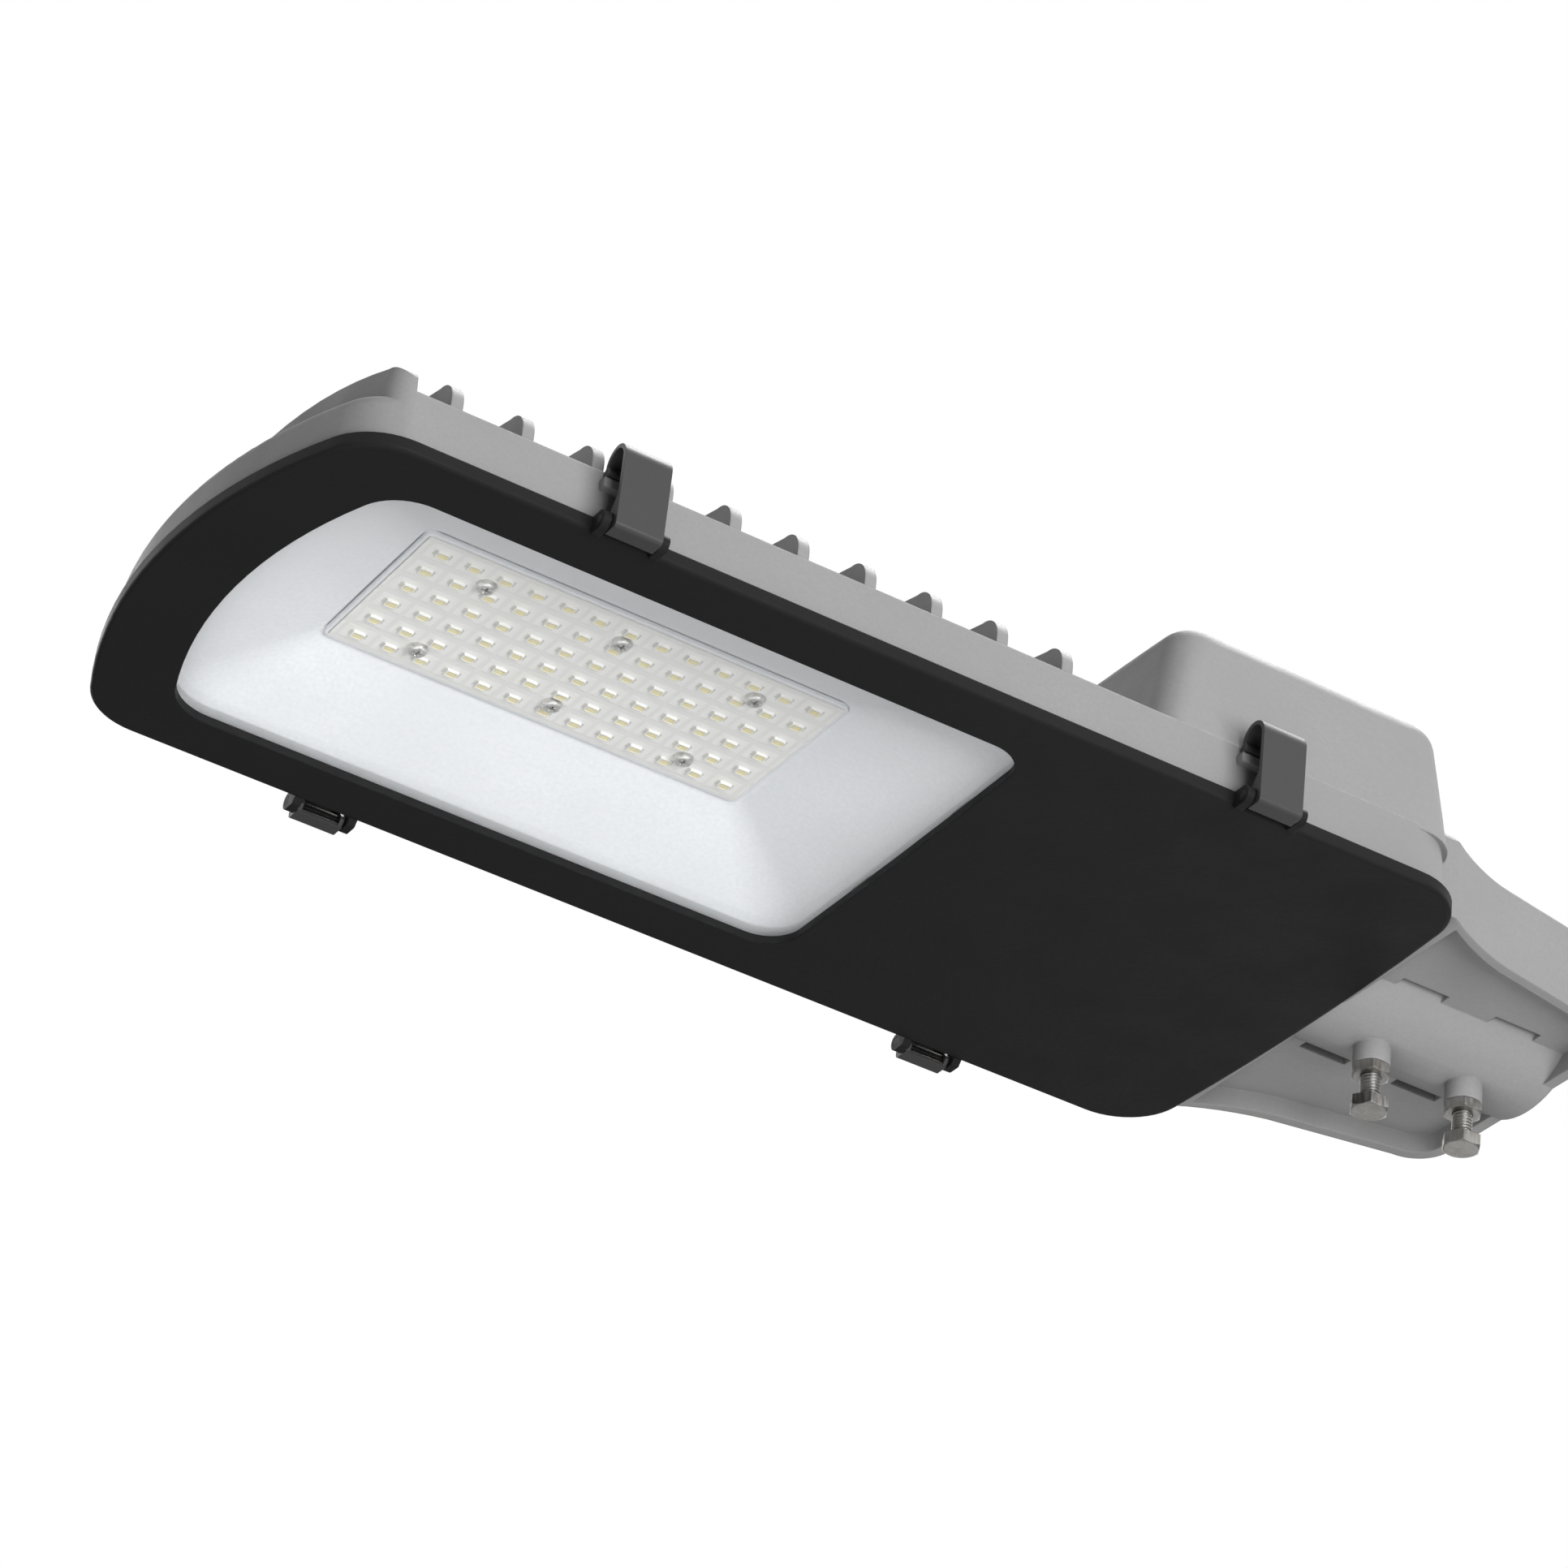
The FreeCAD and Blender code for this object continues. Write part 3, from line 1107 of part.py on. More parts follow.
def make_driver_cap(label, side):
    """An end cap of the driver with its fixing ear; side is -1 (near) or 1 (far)."""
    body = new_body(label)
    middle = ahead("Sizes.DriverPlace")
    start = f"{side} * Sizes.DriverLength / 2"
    cap_end = f"{side} * (Sizes.DriverLength / 2 + Sizes.CapThickness)"
    ear_end = f"{side} * (Sizes.DriverLength / 2 + Sizes.CapThickness + Sizes.EarLength)"
    low = f"{DRIVER_TOP} - Sizes.DriverHeight"
    block = new_sketch(body, f"{label}_outline", offset=low)
    sides = (start, cap_end) if side > 0 else (cap_end, start)
    draw_box(block, f"{middle} - Sizes.DriverWidth / 2", f"{middle} + Sizes.DriverWidth / 2", *sides)
    pad(body, f"{label}_block", block, "Sizes.DriverHeight")
    ear = new_sketch(body, f"{label}_ear_outline", offset=EAR_TOP)
    ear_sides = (f"{cap_end} - {PAST}", ear_end) if side > 0 else (ear_end, f"{cap_end} + {PAST}")
    draw_box(ear, f"{middle} - Sizes.EarWidth / 2", f"{middle} + Sizes.EarWidth / 2", *ear_sides)
    pad(body, f"{label}_ear", ear, "Sizes.EarThickness", reverse=True)
    hole = new_sketch(body, f"{label}_hole_outline", offset=EAR_TOP)
    hole_radius = "Sizes.SmallScrewRadius + Sizes.BoltClearance"
    draw_circle(hole, middle, f"{side} * ({driver_ear_place()})", hole_radius)
    pocket(body, f"{label}_hole", hole, f"Sizes.EarThickness + {PAST}")

    def outer_upright(edge):
        box = edge.BoundBox
        tall = box.ZLength > size("DriverHeight") / 2
        return tall and abs((box.YMin + box.YMax) / 2) > size("DriverLength") / 2 + float(PAST)

    fillet(body, f"{label}_round", outer_upright, "Sizes.DriverRound")
    return body


def make_terminal_block():
    """Three-pole terminal block on the compartment's ceiling, with its wire mouths."""
    body = new_body("terminal_block")
    top = up("Sizes.BoxHeight - Sizes.WallThickness")
    outline = new_sketch(body, "terminal_outline", offset=top)
    middle = ahead("Sizes.TerminalPlace")
    side = "Sizes.TerminalSide"
    draw_box(
        outline,
        f"{middle} - Sizes.TerminalWidth / 2",
        f"{middle} + Sizes.TerminalWidth / 2",
        f"{side} - Sizes.TerminalLength / 2",
        f"{side} + Sizes.TerminalLength / 2",
    )
    pad(body, "terminal_base", outline, "Sizes.TerminalHeight", reverse=True)
    low = up("Sizes.BoxHeight - Sizes.WallThickness - Sizes.TerminalHeight")
    wells = new_sketch(body, "terminal_wells_outline", offset=low)
    mouths = new_sketch(body, "terminal_mouths_outline", "YZ_Plane", f"{middle} - Sizes.TerminalWidth / 2")
    level = f"{low} + Sizes.TerminalHeight / 2"
    for step in (-1, 0, 1):
        place = f"{side} + {step} * Sizes.TerminalPitch"
        draw_circle(wells, middle, place, "Sizes.SmallHeadRadius + 2 * Sizes.BoltClearance")
        draw_circle(mouths, place, level, "Sizes.LeadRadius + Sizes.BoltClearance")
    pocket(body, "terminal_wells", wells, "Sizes.SmallHeadHeight + Sizes.TerminalSink", reverse=True)
    pocket(body, "terminal_mouths", mouths, "Sizes.TerminalWidth / 3", reverse=True)
    return body


def make_terminal_screws():
    body = new_body("terminal_screws")
    body.AllowCompound = True
    low = "Sizes.BoxHeight - Sizes.WallThickness - Sizes.TerminalHeight + Sizes.TerminalSink"
    heads = new_sketch(body, "terminal_screw_heads", offset=up(low))
    for step in (-1, 0, 1):
        place = f"Sizes.TerminalSide + {step} * Sizes.TerminalPitch"
        draw_circle(heads, ahead("Sizes.TerminalPlace"), place, "Sizes.SmallHeadRadius")
    pad(body, "terminal_screw_pads", heads, "Sizes.SmallHeadHeight")
    return body


def make_gland_piece(label, start, length, flat, bore, thread="0"):
    """One hexagonal piece of the cable gland on the pole's axis, bored through."""
    body = new_body(label)
    outline = new_sketch(body, f"{label}_outline", "YZ_Plane", start)
    draw_hexagon(outline, "0", "0", flat)
    pad(body, f"{label}_hexagon", outline, length)
    if thread != "0":
        shank = new_sketch(body, f"{label}_thread_outline", "YZ_Plane", f"{start} + {PAST}")
        draw_circle(shank, "0", "0", "Sizes.GlandRadius")
        pad(body, f"{label}_thread", shank, f"{thread} + {PAST}", reverse=True)
    hole = new_sketch(body, f"{label}_bore_outline", "YZ_Plane", f"{start} - ({thread}) - {PAST}")
    draw_circle(hole, "0", "0", bore)
    pocket(body, f"{label}_bore", hole, f"({thread}) + ({length}) + 2 * {PAST}", reverse=True)
    return body


def make_gland():
    """The cable gland in the wall between the socket and the compartment."""
    thread = "Sizes.WallThickness + Sizes.BoxRearLean + Sizes.GlandLockNut + Sizes.GlandShow"
    seat = "Sizes.GlandBore + Sizes.GlandSealWall"
    flange = "Sizes.GlandFlange"
    lock_bore = "Sizes.GlandRadius + Sizes.PinRunning"
    nut = "Sizes.GlandLockNut"
    nut_start = f"{WALL_IN} - {nut}"
    pieces = [
        make_gland_piece("gland_body", WALL_OUT, flange, "Sizes.GlandFlat", "Sizes.GlandBore", thread),
        make_gland_piece("gland_lock_nut", nut_start, nut, "Sizes.GlandLockFlat", lock_bore),
    ]
    dome = new_body("gland_nut")
    start = f"{WALL_OUT} + Sizes.GlandFlange"
    outline = new_sketch(dome, "dome_outline", "XZ_Plane")
    radius = "Sizes.GlandFlat / 2"
    end = f"{start} + Sizes.GlandNutLength"
    draw_profile(
        outline,
        [
            (start, seat),
            (f"{end} - Sizes.GlandNutFace", seat),
            (f"{end} - Sizes.GlandNutFace", "Sizes.GlandBore"),
            (end, "Sizes.GlandBore"),
            (end, f"{radius} - Sizes.GlandNutChamfer"),
            (f"{end} - Sizes.GlandNutChamfer", radius),
            (start, radius),
        ],
    )
    turn = dome.newObject("PartDesign::Revolution", "dome")
    turn.Profile = outline
    turn.ReferenceAxis = (outline, ["H_Axis"])
    turn.Angle = 360
    dome.Tip = turn
    pieces.append(dome)
    ring = new_body("gland_seal")
    ring_outline = new_sketch(ring, "gland_seal_outline", "YZ_Plane", start)
    draw_circle(ring_outline, "0", "0", f"{seat} - Sizes.PinRunning")
    draw_circle(ring_outline, "0", "0", "Sizes.GlandBore")
    pad(ring, "gland_ring", ring_outline, "Sizes.GlandNutLength - Sizes.GlandNutFace")
    pieces.append(ring)
    return pieces


BOSS_FOOT = "-(Sizes.SocketRadius + Sizes.SocketWall + Sizes.BossDrop)"


def make_clamp_bolts():
    """Hexagon bolts up through the bosses; their tips end at the bore's wall."""
    body = new_body("clamp_bolts")
    body.AllowCompound = True
    head_top = f"{BOSS_FOOT} - Sizes.BoltNutHeight - Sizes.BoltShow"
    heads = new_sketch(body, "bolt_heads_outline", offset=head_top)
    shanks = new_sketch(body, "bolt_shanks_outline", offset=f"{head_top} - {PAST}")
    for x in bolt_places():
        draw_hexagon(heads, x, "0", "Sizes.BoltHexFlat")
        draw_circle(shanks, x, "0", "Sizes.BoltRadius")
    pad(body, "bolt_heads", heads, "Sizes.BoltHeadHeight", reverse=True)
    tip = "-(Sizes.SocketRadius + Sizes.LatchRunning)"
    pad(body, "bolt_shanks", shanks, f"{tip} - ({head_top}) + {PAST}")
    return body


def make_clamp_nuts():
    body = new_body("clamp_nuts")
    body.AllowCompound = True
    outline = new_sketch(body, "lock_nut_outline", offset=BOSS_FOOT)
    for x in bolt_places():
        draw_hexagon(outline, x, "0", "Sizes.BoltHexFlat")
        draw_circle(outline, x, "0", "Sizes.BoltRadius + Sizes.BoltClearance")
    pad(body, "lock_nuts", outline, "Sizes.BoltNutHeight", reverse=True)
    return body


def make_latch(label, place, side):
    """A pressed latch: ears on the pin, turned foot, plate, arch and rolled lip; side is -1 or 1."""
    body = new_body(label)
    sheet_out = "Sizes.LatchSheet"
    pin = f"{HALF} + Sizes.PinOut"
    face_in = f"{pin} + Sizes.LugRadius + Sizes.LatchRunning"
    curl_y = f"({HALF} - Sizes.WallInset + Sizes.LipPlace)"
    foot_top = up("Sizes.PinHeight - Sizes.PinRadius - Sizes.LatchRunning")
    foot = f"{foot_top} - {sheet_out}"
    foot_end = f"{pin} - Sizes.PinRadius"
    arch = up("Sizes.ArchHeight")
    inner_bow = f"(({face_in}) - ({curl_y}) - {sheet_out} / 2) / 2"
    outer_bow = f"({inner_bow}) + {sheet_out}"
    tip_in = f"{curl_y} + {sheet_out} / 2"
    tip_out = f"{curl_y} - {sheet_out} / 2"
    start = f"{ahead(place)} - Sizes.LatchWidth / 2"

    def across(distance):
        return f"{side} * ({distance})"

    plate = new_sketch(body, f"{label}_strip", "YZ_Plane", start)
    curl_z = up("Sizes.ArchHeight - Sizes.CurlDrop")
    draw_profile(
        plate,
        [
            (across(face_in), foot_top),
            (across(face_in), arch, f"{side} * ({inner_bow})"),
            (across(tip_in), arch),
            (across(tip_in), curl_z),
            (across(tip_out), curl_z),
            (across(tip_out), arch, f"{-side} * ({outer_bow})"),
            (across(f"{face_in} + {sheet_out}"), arch),
            (across(f"{face_in} + {sheet_out}"), foot_top, f"{-side} * {sheet_out}"),
            (across(face_in), foot),
            (across(foot_end), foot),
            (across(foot_end), foot_top),
        ],
    )
    pad(body, f"{label}_bent_strip", plate, "Sizes.LatchWidth")
    curl = new_sketch(body, f"{label}_curl", "YZ_Plane", start)
    draw_circle(curl, across(curl_y), curl_z, "Sizes.CurlRadius")
    pad(body, f"{label}_lip", curl, "Sizes.LatchWidth")
    ear_radius = "Sizes.LugRadius"
    far_start = f"{ahead(place)} + Sizes.LatchWidth / 2 - {sheet_out}"
    for name, where in (("nose_ear", start), ("tail_ear", far_start)):
        ear = new_sketch(body, f"{label}_{name}", "YZ_Plane", where)
        pin_z = up("Sizes.PinHeight")
        draw_profile(
            ear,
            [
                (across(f"{face_in} + {sheet_out} / 2"), up(f"Sizes.PinHeight - {ear_radius}")),
                (across(f"{face_in} + {sheet_out} / 2"), up("Sizes.PinHeight + Sizes.EarHeight")),
                (across(f"{pin} - {ear_radius}"), pin_z, f"{side} * {ear_radius}"),
                (across(pin), up(f"Sizes.PinHeight - {ear_radius}")),
            ],
        )
        pad(body, f"{label}_{name}_pad", ear, sheet_out)
    hole = new_sketch(body, f"{label}_pin_hole", "YZ_Plane", start)
    draw_circle(hole, across(pin), up("Sizes.PinHeight"), "Sizes.PinRadius + Sizes.PinRunning")
    pocket(body, f"{label}_pin_hole_cut", hole, "Sizes.LatchWidth", reverse=True)
    return body


def make_latch_pins():
    """The four latch pins, through the ears and the frame's lugs."""
    body = new_body("latch_pins")
    body.AllowCompound = True
    for name, place in (("front", "Sizes.FrontLatch"), ("rear", "Sizes.RearLatch")):
        start = f"{ahead(place)} - ({LUG_START}) - Sizes.LugWidth"
        outline = new_sketch(body, f"{name}_pin_outline", "YZ_Plane", start)
        for side in (-1, 1):
            y = f"{side} * ({HALF} + Sizes.PinOut)"
            draw_circle(outline, y, up("Sizes.PinHeight"), "Sizes.PinRadius")
        pad(body, f"{name}_pins", outline, f"2 * ({LUG_START} + Sizes.LugWidth)")
    return body


def build():
    pieces = [
        make_housing(),
        make_cover_frame(),
        make_glass(),
        make_glass_seal(),
        make_glass_clips(),
        make_glass_clip_screws(),
        make_housing_seal(),
        make_reflector_tray(),
        make_led_board(),
        make_led_chips(),
        make_board_screws(),
        make_driver_case(),
        make_driver_cap("driver_cap_near", -1),
        make_driver_cap("driver_cap_far", 1),
        make_terminal_block(),
        make_terminal_screws(),
        make_driver_screws(),
        make_clamp_bolts(),
        make_clamp_nuts(),
        make_latch_pins(),
    ]
    pieces += make_gland()
    for end, place in (("front", "Sizes.FrontLatch"), ("rear", "Sizes.RearLatch")):
        for name, side in (("near", -1), ("far", 1)):
            pieces.append(make_latch(f"latch_{end}_{name}", place, side))
    return pieces


def check(pieces):
    """Every object is up to date, and every piece is a valid solid or group of solids."""
    for item in document.Objects:
        if "Invalid" in item.State or "Error" in item.State:
            raise RuntimeError(f"{item.Name} failed: {item.State}")
    for piece in pieces:
        if piece.Shape.isNull() or not piece.Shape.isValid() or not piece.Shape.Solids:
            raise RuntimeError(f"{piece.Label} has no valid shape")


parts = build()
document.recompute()
check(parts)
os.makedirs("parts", exist_ok=True)
for part in parts:
    part.Shape.exportStep(f"parts/{part.Label}.step")
    print(part.Label, len(part.Shape.Solids), round(part.Shape.Volume))
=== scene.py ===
"""Looks of the LED street light head: finishes, small modelled pieces, studio and camera.

Units are metres in the part's own frame: the origin is the middle of the pole socket's mouth, the
nose points along -X, +Z is up and the light shines down.
"""

import math

import bmesh
import bpy
from mathutils import Matrix, Vector


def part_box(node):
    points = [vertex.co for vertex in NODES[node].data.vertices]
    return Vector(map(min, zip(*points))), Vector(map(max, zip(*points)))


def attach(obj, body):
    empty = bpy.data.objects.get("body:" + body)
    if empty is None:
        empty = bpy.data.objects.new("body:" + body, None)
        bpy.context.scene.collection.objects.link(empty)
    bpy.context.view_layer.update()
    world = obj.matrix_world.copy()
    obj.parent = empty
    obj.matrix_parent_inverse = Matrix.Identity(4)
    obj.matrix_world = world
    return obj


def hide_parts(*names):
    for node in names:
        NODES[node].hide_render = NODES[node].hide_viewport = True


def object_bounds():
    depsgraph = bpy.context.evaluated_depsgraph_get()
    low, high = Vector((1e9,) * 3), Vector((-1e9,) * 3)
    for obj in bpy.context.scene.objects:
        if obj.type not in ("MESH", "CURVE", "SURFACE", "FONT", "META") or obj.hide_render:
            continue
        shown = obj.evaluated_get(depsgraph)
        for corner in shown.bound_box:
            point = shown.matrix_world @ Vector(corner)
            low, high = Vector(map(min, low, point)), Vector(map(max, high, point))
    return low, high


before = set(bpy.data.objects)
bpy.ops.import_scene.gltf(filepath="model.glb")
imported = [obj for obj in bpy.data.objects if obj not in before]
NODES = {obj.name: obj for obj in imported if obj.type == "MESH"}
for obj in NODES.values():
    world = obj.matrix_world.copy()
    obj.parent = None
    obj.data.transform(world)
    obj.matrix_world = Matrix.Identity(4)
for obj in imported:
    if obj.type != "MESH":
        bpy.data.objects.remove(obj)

MM = 0.001
CAD_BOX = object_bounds()

# Photograph and camera, which is a pinhole worked out from the photograph
PHOTO_PIXELS = 1932
FOCAL_PIXELS = 7200
SENSOR_MM = 36
CAMERA_PLACE = Vector((-0.8555, -1.1554, -0.8455))
CAMERA_AIM = Vector((-0.2364, 0.0180, -0.0094))
CAMERA_ROLL = math.radians(6.74)
CAMERA_CLIP = (0.05, 50)

# Studio: the floor fades to white between the haze's two distances from the part
WHITE = (1, 1, 1)
FLOOR_HEIGHT = -1.6
FLOOR_SIZE = 80
FLOOR_COLOUR = (0.48, 0.48, 0.48)
FLOOR_CLOUD = 0.5
HAZE_START = 0.66
HAZE_NEAR = 1.0
HAZE_FAR = 6.0
SKY_LIGHT = 0.06

# Each lamp: place, width, height, watts, and whether shiny surfaces mirror it
LAMPS = {
    "key": ((0.0, -2.1, -0.95), 1.8, 0.9, 53, False),
    "side": ((0.0, -2.3, -0.1), 1.6, 1.2, 24, True),
    "above": ((0.5, 0.2, 2.3), 1.4, 1.4, 44, True),
    "far": ((-0.3, 2.3, 0.9), 1.6, 1.0, 16, True),
    "under": ((-0.85, -0.2, -1.0), 1.0, 0.8, 6, False),
    "behind": ((1.6, 1.6, -0.75), 1.0, 0.8, 4, True),
}

# Colours
GREY = (0.268, 0.265, 0.265)
BLACK = (0.0125, 0.0125, 0.013)
LATCH_GREY = (0.041, 0.040, 0.041)
TRAY_WHITE = (0.82, 0.828, 0.842)
BOARD_WHITE = (0.89, 0.883, 0.855)
BOARD_AGED = (0.80, 0.76, 0.64)
PAD_TONE = (0.62, 0.60, 0.56)
METAL_STAIN = (0.25, 0.18, 0.11)
GLASS_TINTS = ((0.985, 0.99, 0.992), (0.992, 0.996, 1.0))
GLASS_CLEAR = (0.97, 0.975, 0.98)
PHOSPHOR_TINTS = ((0.84, 0.74, 0.40), (0.90, 0.84, 0.56))

# Finishes: sizes of their spots, reach of their painted shade in corners and depths of their bumps.
# A shade is a share of the finish's own colour, and a coat's grain depth a share of its peel's.
CORNER_SAMPLES = 8
EDGE_SAMPLES = 6
COAT_CLOUD = 60 * MM
COAT_SPECK = 1.1 * MM
COAT_SHEEN = 18 * MM
COAT_PEEL = 2.4 * MM
COAT_GRAIN = 0.6 * MM
COAT_CORNER = 12 * MM
COAT_SPECK_SHADE = 0.90
COAT_CORNER_SHADE = 0.35
COAT_GRAIN_DEPTH = 0.35
METAL_BRUSH = 0.8 * MM
METAL_CLOUD = 4 * MM
METAL_CORNER = 4 * MM
METAL_CORNER_SHADE = 0.3
METAL_BRUSH_DEPTH = 0.02 * MM
PLASTIC_CLOUD = 12 * MM
PLASTIC_GRAIN = 0.7 * MM
GLASS_WAVE = 50 * MM
GLASS_WAVE_DEPTH = 0.04 * MM
GLASS_ROUGHNESS = 0.03
GLASS_IOR = 1.45
BOARD_CLOUD = 20 * MM
BOARD_SHEEN = 6 * MM
BOARD_GRAIN = 0.8 * MM
BOARD_GRAIN_DEPTH = 0.01 * MM
BOARD_EDGE = 0.2 * MM
FIELD_DEPTH = 0.06 * MM
PHOSPHOR_GRAIN = 0.4 * MM
PHOSPHOR_GRAIN_DEPTH = 0.01 * MM

# Half sides of the copper field round each LED, as shares of the pitches, and of its pads, as
# shares of the LED
FIELD_SHARES = (0.43, 0.36)
PAD_SHARES = (0.72, 0.42)

# LEDs, whose common box gives their pitches
CHIP_COLUMNS = 13
CHIP_ROWS = 6
CHIP_LENGTH = 3.5 * MM
CHIP_WIDTH = 2.8 * MM
CHIP_CORNER = 0.15 * MM
CHIP_CHAMFER = 0.1 * MM
CHIP_CHAMFER_CORNER = 0.1 * MM
WINDOW_INSET = 0.32 * MM
WINDOW_CORNER = 0.45 * MM
WINDOW_SINK = 0.05 * MM
DOME_HEIGHT = 0.04 * MM
DOME_RING_SIZE = 0.6  # share of the window's size
DOME_RING_RISE = 0.8  # share of the dome's height
PHOSPHOR_SLOT = 1
CORNER_STEPS = 4

# The tray's hem round the board
HEM_GAP = 0.15 * MM
HEM_WIDTH = 1.0 * MM
HEM_DEPTH = 1.45 * MM
HEM_CORNER = 1.0 * MM
HEM_CHAMFER = HEM_WIDTH / 4

# Bolts, nuts and screws
HEX_SIDES = 6
HEX_AROUND = 72
HEX_CHAMFER_START = 0.97  # share of the way from the middle to the flats
HEX_CHAMFER_SLOPE = math.tan(math.radians(30))
HEX_CORE = 0.2 * MM  # ring in the middle of an end without a hole
THREAD_AROUND = 36
THREAD_ROWS = 6  # to each turn
THREAD_DEPTH = 0.55  # share of the pitch
THREAD_END = 0.6  # slope of the chamfer at the tip
BOLT_RADIUS = 3.0 * MM
BOLT_PITCH = 1.0 * MM
BOLT_HEAD = 4.0 * MM
WASHER_FACE = 0.35 * MM
WASHER_SHARE = 0.92  # share of the way from the middle to the flats
SCREW_RADIUS = 1.5 * MM
SCREW_PITCH = 0.5 * MM
SCREW_HEAD_RADIUS = 2.7 * MM
SCREW_HEAD_HEIGHT = 1.8 * MM
SCREW_HEAD_AROUND = 48
PAN_SHARE = 0.6  # share of the head's height that is rounded
PAN_FACE = 0.72  # share of the head's radius that is flat
PAN_STEPS = 4
PAN_FLAT_BANDS = 2  # seat and side
CROSS_REACH = 1.35 * MM
CROSS_WIDTH = 0.55 * MM
CROSS_DEPTH = 1.1 * MM
CROSS_TAPER = 0.55  # size of the recess's bottom, as a share of its mouth
NEAR_ZERO = 1e-9


def new_material(name):
    """A node material: its tree and its Principled shader."""
    material = bpy.data.materials.new(name)
    material.use_nodes = True
    tree = material.node_tree
    return material, tree, tree.nodes["Principled BSDF"]


def feed(tree, socket, value):
    """Give an input its value: another node's output, a number, a vector or a colour."""
    if isinstance(value, bpy.types.NodeSocket):
        tree.links.new(value, socket)
    elif socket.type == "RGBA":
        socket.default_value = (*value, 1)
    else:
        socket.default_value = value


def add_node(tree, kind, inputs=(), **settings):
    """A node with plain settings, and with inputs given as (name or number, value)."""
    node = tree.nodes.new(kind)
    for name, value in settings.items():
        setattr(node, name, value)
    for name, value in inputs:
        feed(tree, node.inputs[name], value)
    return node


def place(tree):
    """A surface point's place on the piece, in metres."""
    return add_node(tree, "ShaderNodeTexCoord").outputs["Object"]


def stretched(tree, factors):
    """The place with each axis stretched by its own factor."""
    inputs = [(0, place(tree)), (1, factors)]
    return add_node(tree, "ShaderNodeVectorMath", inputs, operation="MULTIPLY").outputs[0]


def noise(tree, size, detail=2.0, at=None):
    """Noise between 0 and 1 whose spots are about size across, in metres."""
    inputs = [("Vector", at or place(tree)), ("Scale", 1 / size), ("Detail", detail)]
    return add_node(tree, "ShaderNodeTexNoise", inputs).outputs["Fac"]


def spread(tree, value, low=0, high=1, from_low=0.3, from_high=0.7):
    """A value from noise's usual range, or from another one, stretched to low and high."""
    inputs = [(0, value), (1, from_low), (2, from_high), (3, low), (4, high)]
    return add_node(tree, "ShaderNodeMapRange", inputs).outputs[0]


def math_node(tree, operation, *values):
    """The result of an operation on numbers or sockets."""
    inputs = list(enumerate(values))
    return add_node(tree, "ShaderNodeMath", inputs, operation=operation).outputs[0]


def blend_colour(tree, factor, first, second):
    """The first colour where the factor is 0, and the second where it is 1."""
    inputs = [(0, factor), (6, first), (7, second)]
    return add_node(tree, "ShaderNodeMix", inputs, data_type="RGBA").outputs[2]


def shade(colour, factor):
    """A colour made lighter or darker by a factor."""
    return tuple(channel * factor for channel in colour)


def varied(tree, factor, colour, dark, light):
    """A colour that runs from a darker to a lighter shade as the factor goes from 0 to 1."""
    return blend_colour(tree, factor, shade(colour, dark), shade(colour, light))


def uneven(tree, value, middle, below, above):
    """A roughness that strays below and above its middle as the value does."""
    return spread(tree, value, middle - below, middle + above)


def cavity(tree, distance):
    """1 on open surfaces, less in corners and gaps."""
    inputs = [("Distance", distance)]
    node = add_node(tree, "ShaderNodeAmbientOcclusion", inputs, samples=CORNER_SAMPLES)
    return node.outputs["AO"]


def bump(tree, height, depth, normal=None):
    """A normal that follows a height between 0 and 1, depth metres deep."""
    inputs = [("Height", height), ("Distance", depth), ("Strength", 1.0)]
    if normal is not None:
        inputs.append(("Normal", normal))
    return add_node(tree, "ShaderNodeBump", inputs).outputs["Normal"]


def soft_edges(tree, radius):
    """A normal that rounds every edge by a radius."""
    node = add_node(tree, "ShaderNodeBevel", [("Radius", radius)], samples=EDGE_SAMPLES)
    return node.outputs["Normal"]


def set_shader(tree, shader, colour, roughness, normal=None, metallic=0.0, specular=0.5):
    """Set the shader's main inputs from colours, numbers or sockets."""
    inputs = {
        "Base Color": colour,
        "Roughness": roughness,
        "Normal": normal,
        "Metallic": metallic,
        "Specular IOR Level": specular,
    }
    for name, value in inputs.items():
        if value is not None:
            feed(tree, shader.inputs[name], value)


def coated(name, colour, roughness, edge, peel, painted_corner_shade, specular):
    """Powder coat: cloudy tone, fine specks, orange peel, rounded edges, painted shade in corners.
    """
    material, tree, shader = new_material(name)
    cloud = spread(tree, noise(tree, COAT_CLOUD, detail=3.0))
    specks = spread(tree, noise(tree, COAT_SPECK, detail=1.0), high=0.5)
    # Painted shade: the colour is darkened in corners and gaps, where ambient occlusion finds them
    corners = spread(
        tree, cavity(tree, COAT_CORNER), low=painted_corner_shade, high=0, from_low=0.25, from_high=0.85
    )
    tone = varied(tree, cloud, colour, dark=0.95, light=1.05)
    tone = blend_colour(tree, specks, tone, shade(colour, COAT_SPECK_SHADE))
    tone = blend_colour(tree, corners, tone, shade(colour, COAT_CORNER_SHADE))
    gloss = uneven(tree, noise(tree, COAT_SHEEN), roughness, below=0.05, above=0.06)
    normal = soft_edges(tree, edge)
    normal = bump(tree, noise(tree, COAT_PEEL, detail=1.0), peel, normal)
    normal = bump(tree, noise(tree, COAT_GRAIN, detail=1.0), peel * COAT_GRAIN_DEPTH, normal)
    set_shader(tree, shader, tone, gloss, normal, specular=specular)
    return material


